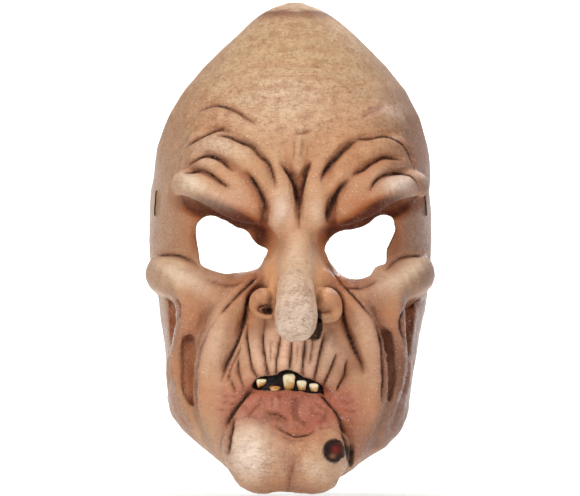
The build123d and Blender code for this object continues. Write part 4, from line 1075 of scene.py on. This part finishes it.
# gauze soaked in latex
gauze_look, nt, shader = material("latexed_gauze")
obj = where(nt)
c = mix(nt, attribute(nt, "Thread"), srgb(168, 142, 112), srgb(232, 222, 200))
c = mix(nt, ramp(nt, noise(nt, obj, 240, 3.0), (0.45, 0.7, 0.0, 0.6)), c, srgb(196, 168, 130))
nt.links.new(c, shader.inputs["Base Color"])
nt.links.new(ramp(nt, noise(nt, obj, 500, 3.0), (0.3, 0.7, 0.45, 0.8)), shader.inputs["Roughness"])
nt.links.new(bump(nt, noise(nt, obj, 2200, 3.0, 0.6), 0.0001, 0.8), shader.inputs["Normal"])

# staple wire
wire_look, nt, shader = material("staple_wire")
obj = where(nt)
c = mix(nt, ramp(nt, noise(nt, obj, 700, 3.0), (0.4, 0.65, 0.0, 1.0)), srgb(74, 70, 68), srgb(34, 26, 24))
nt.links.new(c, shader.inputs["Base Color"])
shader.inputs["Metallic"].default_value = 0.85
nt.links.new(ramp(nt, noise(nt, obj, 1200, 2.0), (0.3, 0.7, 0.3, 0.6)), shader.inputs["Roughness"])
nt.links.new(bump(nt, noise(nt, obj, 1800, 3.0), 0.00008, 0.8), shader.inputs["Normal"])

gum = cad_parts["gum_plate"]
gum.data.materials.clear()
gum.data.materials.append(gum_look)


# ------------------------------------------------------------------ teeth
def tooth(name, x, z_gum, z_bite, w_gum, w_bite, lean, chip, set_back=0.0):
    n_up, n_round = 22, 36
    up = 1 if z_gum > z_bite else -1
    seat = gum_front(x, (z_gum + z_bite) / 2)
    front_y = lip_back(x) + set_back
    depth = max(seat + 1.2 - front_y, 3.6)
    co, stain, grime = [], [], []
    rng = np.random.default_rng(abs(hash_name(name)))
    phase = rng.uniform(0, 6.28, 4)
    for i in range(n_up):
        v = i / (n_up - 1)
        w = w_gum + (w_bite - w_gum) * v ** 1.3
        close = math.sqrt(max(1 - ((v - 0.84) / 0.16) ** 2, 0.0)) if v > 0.84 else math.sqrt(max(1 - ((0.26 - v) / 0.26) ** 2, 0.0)) if v < 0.26 else 1.0
        width = w / 2 * (0.72 + 0.28 * close) if v > 0.84 else w / 2 * (0.30 + 0.70 * close)
        thick = depth / 2 * (1 - 0.30 * v) * (0.18 + 0.82 * close)
        z = z_gum + (z_bite - z_gum) * v
        for j in range(n_round):
            t = 2 * math.pi * j / n_round
            cx, cy = math.cos(t), math.sin(t)
            sx = math.copysign(abs(cx) ** 0.62, cx)
            sy = math.copysign(abs(cy) ** 0.75, cy)
            ripple = 0.10 * math.sin(3 * t + phase[0] + 2 * v) + 0.07 * math.sin(5 * t + phase[1] - 3 * v)
            px = x + lean * v + sx * (width + ripple)
            py = front_y + depth / 2 + 0.35 * v * v + sy * thick
            # worn biting edge: it runs aslant, with a chip
            edge = chip * (sx * 0.5 + 0.25 * math.sin(2.2 * sx + phase[2])) * v ** 3
            co.append((px, py, z + up * edge))
            stain.append(v + 0.10 * math.sin(2 * t + phase[3]))
            grime.append(np.clip(max(abs(sx) - 0.86, 0) / 0.14 * 0.75, 0, 1) * (0.4 + 0.6 * (1 - v)))
    faces = []
    for i in range(n_up - 1):
        for j in range(n_round):
            a, b = i * n_round + j, i * n_round + (j + 1) % n_round
            faces.append((a, b, b + n_round, a + n_round))
    ends = np.array(co)
    for ring, order in ((0, -1), (n_up - 1, 1)):
        base = ring * n_round
        co.append(tuple(ends[base:base + n_round].mean(0)))
        stain.append(ring / (n_up - 1))
        grime.append(0.3)
        hub = len(co) - 1
        for j in range(n_round):
            a, b = base + j, base + (j + 1) % n_round
            faces.append((a, b, hub)[::order])
    if up < 0:
        faces = [f[::-1] for f in faces]
    ob = build(name + "_crown", co, faces)
    number(ob, "Stain", stain)
    number(ob, "Grime", grime)
    ob.data.materials.append(tooth_look)
    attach(ob, "face")
    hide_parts(name)
    return ob


def hash_name(name):
    return sum((i + 3) * ord(ch) for i, ch in enumerate(name))


gum_co = np.array([v.co for v in gum.data.vertices]) / MM


def gum_front(x, z):
    """Front of the gum plate near x, z."""
    d = np.hypot(gum_co[:, 0] - x, gum_co[:, 2] - z)
    near = gum_co[d < max(3.0, d.min() + 0.5)]
    return float(near[:, 1].min())


def lip_back(x):
    """y just behind the edge of the upper lip."""
    return max(skin_front(x, z) for z in (-70.5, -72.0)) + 2.2


for row in (("upper_tooth_corner", -15.0, -74.3, -78.6, 6.0, 3.0, -0.3, 1.0), ("upper_tooth_long", -0.7, -71.5, -80.9, 7.2, 5.6, -0.3, 0.7),
            ("upper_tooth_middle", 5.6, -75.0, -81.0, 5.4, 4.6, 0.3, -0.8), ("upper_tooth_small", 11.9, -76.6, -81.6, 5.4, 4.0, 0.3, -0.9),
            ("lower_tooth", -7.7, -86.5, -77.8, 6.4, 6.4, 0.0, 0.3, -1.4)):
    tooth(*row)


# ------------------------------------------------------------------ what holds the band: gauze patches, staples, the band itself
def wall_x(side, y, z, inset):
    """x of the surface set in by inset from the outside, on one temple."""
    y, z = np.broadcast_arrays(np.asarray(y, float), np.asarray(z, float))
    x = np.full(y.shape, 71.0)
    for _ in range(14):
        p = np.stack([side * x.ravel(), y.ravel(), z.ravel()], 1)
        x = x - 0.8 * (sample(field, p).reshape(x.shape) + inset)
    return side * x


def sheet_between(front_rows, back_rows):
    """Closed mesh from two grids of points with the same layout."""
    n, m = front_rows.shape[:2]
    co = np.vstack([front_rows.reshape(-1, 3), back_rows.reshape(-1, 3)])
    k = n * m
    idx = np.arange(k).reshape(n, m)
    a, b, c, d = idx[:-1, :-1].ravel(), idx[1:, :-1].ravel(), idx[1:, 1:].ravel(), idx[:-1, 1:].ravel()
    faces = [tuple(f) for f in np.stack([a, b, c, d], 1)] + [tuple(f) for f in np.stack([d, c, b, a], 1) + k]
    loop = np.concatenate([idx[0, :-1], idx[:-1, -1], idx[-1, :0:-1], idx[:0:-1, 0]])
    for p, q in zip(loop, np.roll(loop, -1)):
        faces.append((int(p), int(q), int(q + k), int(p + k)))
    return co, faces


for side, name in ((-1, "left"), (1, "right")):
    rng = np.random.default_rng(77 + side)
    n, m = 76, 96
    u, v = np.meshgrid(np.linspace(-1, 1, n), np.linspace(-1, 1, m), indexing="ij")
    # rounded rectangle with a slightly uneven cut edge
    squeeze = 1 - 0.075 * (np.abs(u) ** 6) * (np.abs(v) ** 6)
    y = 37.0 + 11.0 * u * squeeze + 0.35 * np.sin(5 * v + side) * np.abs(u) ** 4
    z = HINGE_Z + 14.0 * v * squeeze + 0.35 * np.sin(6 * u) * np.abs(v) ** 4
    thread = np.sin(2 * np.pi * y / 1.5) * np.sin(2 * np.pi * z / 1.5)
    warp = np.maximum(np.abs(np.cos(np.pi * y / 1.5)) ** 2 * (0.6 + 0.4 * thread), np.abs(np.cos(np.pi * z / 1.5)) ** 2 * (0.6 - 0.4 * thread))
    edge = np.minimum(np.minimum(1 - np.abs(u), 1 - np.abs(v)) / 0.05, 1)
    inner_face = WALL + 0.12 + (0.42 + 0.30 * warp) * (0.35 + 0.65 * edge)
    a = np.stack([wall_x(side, y, z, WALL - 0.12), y, z], 2)
    b = np.stack([wall_x(side, y, z, inner_face), y, z], 2)
    co, faces = sheet_between(a, b)
    if side > 0:
        faces = [f[::-1] for f in faces]
    patch = build(name + "_gauze", co, faces)
    number(patch, "Thread", np.concatenate([warp.ravel(), warp.ravel()]))
    patch.data.materials.append(gauze_look)
    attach(patch, "face")
    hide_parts(name + "_temple_patch")


def tube_mesh(path, radius, sides=12):
    path = np.asarray(path, float)
    t = np.gradient(path, axis=0)
    t /= np.linalg.norm(t, axis=1)[:, None]
    ref = np.array([0.3, 0.9, 0.2])
    co = []
    normal = np.cross(t[0], ref)
    for p, d in zip(path, t):
        normal = normal - d * (normal @ d)
        normal /= np.linalg.norm(normal)
        other = np.cross(d, normal)
        for j in range(sides):
            a = 2 * math.pi * j / sides
            co.append(p + radius * (math.cos(a) * normal + math.sin(a) * other))
    faces = []
    n = len(path)
    for i in range(n - 1):
        for j in range(sides):
            a, b = i * sides + j, i * sides + (j + 1) % sides
            faces.append((a, b, b + sides, a + sides))
    faces.append(tuple(range(sides))[::-1])
    faces.append(tuple((n - 1) * sides + j for j in range(sides)))
    return co, faces


def rounded(points, radius=0.8, n=7):
    """Polyline with its corners rounded, evenly enough spaced for a tube."""
    p = [np.asarray(q, float) for q in points]
    out = [p[0]]
    for a, b, c in zip(p[:-2], p[1:-1], p[2:]):
        r = min(radius, 0.45 * np.linalg.norm(a - b), 0.45 * np.linalg.norm(c - b))
        s, e = b + (a - b) / np.linalg.norm(a - b) * r, b + (c - b) / np.linalg.norm(c - b) * r
        for t in np.linspace(0, 1, n):
            out.append((1 - t) ** 2 * s + 2 * t * (1 - t) * b + t * t * e)
    out.append(p[-1])
    return np.array(out)


for side, name in ((-1, "left"), (1, "right")):
    kinks = ((6.5, 0.0), (3.4, 0.30), (0.6, -0.25), (-2.4, 0.35), (-6.5, 0.05)) if side < 0 else ((6.5, 0.0), (2.6, -0.35), (-0.4, 0.2), (-3.8, -0.25), (-6.5, 0.0))
    crown = []
    for dz, dy in kinks:
        y, z = 34.0 + dy, HINGE_Z + dz
        crown.append((float(wall_x(side, y, z, -0.28)), y, z))
    legs = []
    for (dz, _), curl in ((kinks[0], -1), (kinks[-1], 1)):
        y, z = 34.0, HINGE_Z + dz
        deep = float(wall_x(side, y, z, WALL + 2.6))
        legs.append(((deep, y, z), (deep + side * 0.1, y + 0.2, z + curl * 4.4)))
    points = [legs[0][1], legs[0][0], *crown, legs[1][0], legs[1][1]]
    co, faces = tube_mesh(rounded(points), 0.36)
    wire = build(name + "_staple_wire", co, faces)
    wire.data.materials.append(wire_look)
    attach(wire, "face")
    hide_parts(name + "_staple")

# the band: one flat strap, 10 mm by 1.2 mm, stapled at both ends and hanging in a bow behind
DROOP = math.radians(45)
BAND_X, RUN, DEPTH, WIDE, THICK = 63.2, 26.0, 62.0, 10.0, 1.2
down = np.array([0.0, math.cos(DROOP), -math.sin(DROOP)])
broad = np.array([0.0, math.sin(DROOP), math.cos(DROOP)])
hinge = np.array([0.0, HINGE_Y, HINGE_Z])


def tab_x(side, w):
    y, z = (hinge + down * w)[1:]
    return abs(float(wall_x(side, y, z, WALL + 0.8 + 0.1 + THICK / 2)))


half_path = []
for w in np.concatenate([np.linspace(-10.5, 9, 20), np.linspace(10.5, RUN, 8)]):
    x_wall = min(tab_x(-1, w), tab_x(1, w))
    t = soft(np.array(w), -3.0, 12.0)
    half_path.append((x_wall * (1 - t) + BAND_X * t, w))
bow = [(BAND_X * math.cos(a), RUN + DEPTH * math.sin(a)) for a in np.linspace(0, math.pi, 61)[1:-1]]
flat_path = [(-x, w) for x, w in half_path] + [(-x, w) for x, w in bow] + [(x, w) for x, w in half_path[::-1]]
flat_path = np.array(flat_path, float)
# even out the spacing and ease the line
steps = np.concatenate([[0], np.cumsum(np.hypot(*np.diff(flat_path, axis=0).T))])
along = np.arange(0, steps[-1], 1.25)
along[-1] = steps[-1]
px = np.interp(along, steps, flat_path[:, 0])
pw = np.interp(along, steps, flat_path[:, 1])
for _ in range(6):
    px[1:-1] = 0.25 * px[:-2] + 0.5 * px[1:-1] + 0.25 * px[2:]
    pw[1:-1] = 0.25 * pw[:-2] + 0.5 * pw[1:-1] + 0.25 * pw[2:]
ribs = 9
profile = []
count = 40
for i in range(count + 1):
    s = -1 + 2 * i / count
    lift = THICK / 2 * (1 - abs(s) ** 10 * 0.6) - 0.07 * (0.5 + 0.5 * math.cos(2 * math.pi * ribs * (s + 1) / 2))
    profile.append((s * WIDE / 2, lift))
profile = profile + [(s, -l) for s, l in profile[::-1]]
co, run_at, across_at = [], [], []
tx, tw = np.gradient(px), np.gradient(pw)
norm = np.hypot(tx, tw)
for i in range(len(px)):
    centre = hinge + np.array([px[i], 0, 0]) + down * pw[i]
    thin = (np.array([1.0, 0, 0]) * tw[i] - down * tx[i]) / norm[i]
    # the free edges wander a little, as slack elastic does
    waver = 0.25 * math.sin(along[i] / 9.0) * min(1, max(0, pw[i] - 12) / 14)
    for s, l in profile:
        co.append(centre + broad * (s + waver) + thin * l)
        run_at.append(along[i])
        across_at.append(s)
k = len(profile)
faces = []
for i in range(len(px) - 1):
    for j in range(k):
        a, b = i * k + j, i * k + (j + 1) % k
        faces.append((a, b, b + k, a + k))
faces.append(tuple(range(k))[::-1])
faces.append(tuple((len(px) - 1) * k + j for j in range(k)))
band = build("elastic_strap", co, faces)
number(band, "Run", run_at)
number(band, "Across", across_at)
band.data.materials.append(elastic_look)
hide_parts("elastic_band", "left_band_end", "right_band_end")
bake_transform(band)
print("strap length mm", round(float(steps[-1]), 1))

# ------------------------------------------------------------------ floor, light, camera
sweep = []
for y in np.linspace(-6.0, 1.2, 37):
    sweep.append((y, -137.4 * MM))
for a in np.linspace(0, math.pi / 2, 15)[1:]:
    sweep.append((1.2 + 0.8 * math.sin(a), -137.4 * MM + 0.8 * (1 - math.cos(a))))
for z in np.linspace(0.9, 3.0, 8):
    sweep.append((2.0, z))
wide = np.linspace(-3.2, 3.2, 9)
co = [(x, y, z) for y, z in sweep for x in wide]
faces = [(i * 9 + j, i * 9 + j + 1, i * 9 + j + 10, i * 9 + j + 9) for i in range(len(sweep) - 1) for j in range(8)]
floor = build("floor", co, faces, scale=1.0, closed=False)
floor_look, nt, shader = material("pale_floor")
c = mix(nt, ramp(nt, noise(nt, where(nt), 3, 3.0), (0.3, 0.7, 0.0, 1.0)), (0.90, 0.90, 0.90), (0.93, 0.93, 0.925))
nt.links.new(c, shader.inputs["Base Color"])
shader.inputs["Roughness"].default_value = 0.8
shader.inputs["Emission Color"].default_value = (1.0, 1.0, 1.0, 1.0)
axes = nt.nodes.new("ShaderNodeSeparateXYZ")
nt.links.new(where(nt), axes.inputs[0])
nt.links.new(ramp(nt, axes.outputs["Y"], (0.10, 0.9, 0.05, 0.55)), shader.inputs["Emission Strength"])
out = next(n for n in nt.nodes if n.type == "OUTPUT_MATERIAL")
clear = nt.nodes.new("ShaderNodeBsdfTransparent")
seen = nt.nodes.new("ShaderNodeMixShader")
nt.links.new(nt.nodes.new("ShaderNodeNewGeometry").outputs["Backfacing"], seen.inputs[0])          # the sweep is open from behind
nt.links.new(shader.outputs[0], seen.inputs[1])
nt.links.new(clear.outputs[0], seen.inputs[2])
nt.links.new(seen.outputs[0], out.inputs["Surface"])
floor.data.materials.append(floor_look)

bpy.context.scene.view_settings.view_transform = "Standard"
world = bpy.data.worlds.new("studio")
bpy.context.scene.world = world
world.use_nodes = True
back = world.node_tree.nodes["Background"]
back.inputs[0].default_value = (1.0, 1.0, 1.0, 1.0)
back.inputs[1].default_value = 0.36


def softbox(name, place, aim, energy, size, colour=(1, 1, 1)):
    light = bpy.data.lights.new(name, "AREA")
    light.shape = "RECTANGLE"
    light.size, light.size_y = size
    light.energy = energy
    light.color = colour
    ob = bpy.data.objects.new(name, light)
    bpy.context.scene.collection.objects.link(ob)
    ob.location = place
    ob.rotation_euler = (Vector(aim) - Vector(place)).to_track_quat("-Z", "Y").to_euler()
    return ob


softbox("key", (-0.80, -1.30, 0.85), (0, 0, 0.01), 12.5, (0.32, 0.42), (1.0, 0.99, 0.97))
softbox("fill", (1.05, -1.2, 0.55), (0, 0, 0), 3.6, (0.30, 0.40), (0.96, 0.97, 1.0))
softbox("top", (0.05, -0.45, 1.25), (0, 0.02, 0.02), 6.5, (0.6, 0.35))
softbox("rear", (0.3, 1.3, 0.9), (0, 0.05, 0.0), 9.0, (0.9, 0.9))

camera = bpy.data.objects.new("camera", bpy.data.cameras.new("camera"))
bpy.context.scene.collection.objects.link(camera)
camera.location = (-0.0003, -5.2, -0.0068)
camera.rotation_euler = (math.pi / 2, 0, 0)
camera.data.sensor_width = 36.0
camera.data.lens = 36.0 * 5.215 / 0.3016
camera.data.clip_end = 50
bpy.context.scene.camera = camera

print("shell", len(shell.data.vertices), "verts", len(shell.data.polygons), "faces")
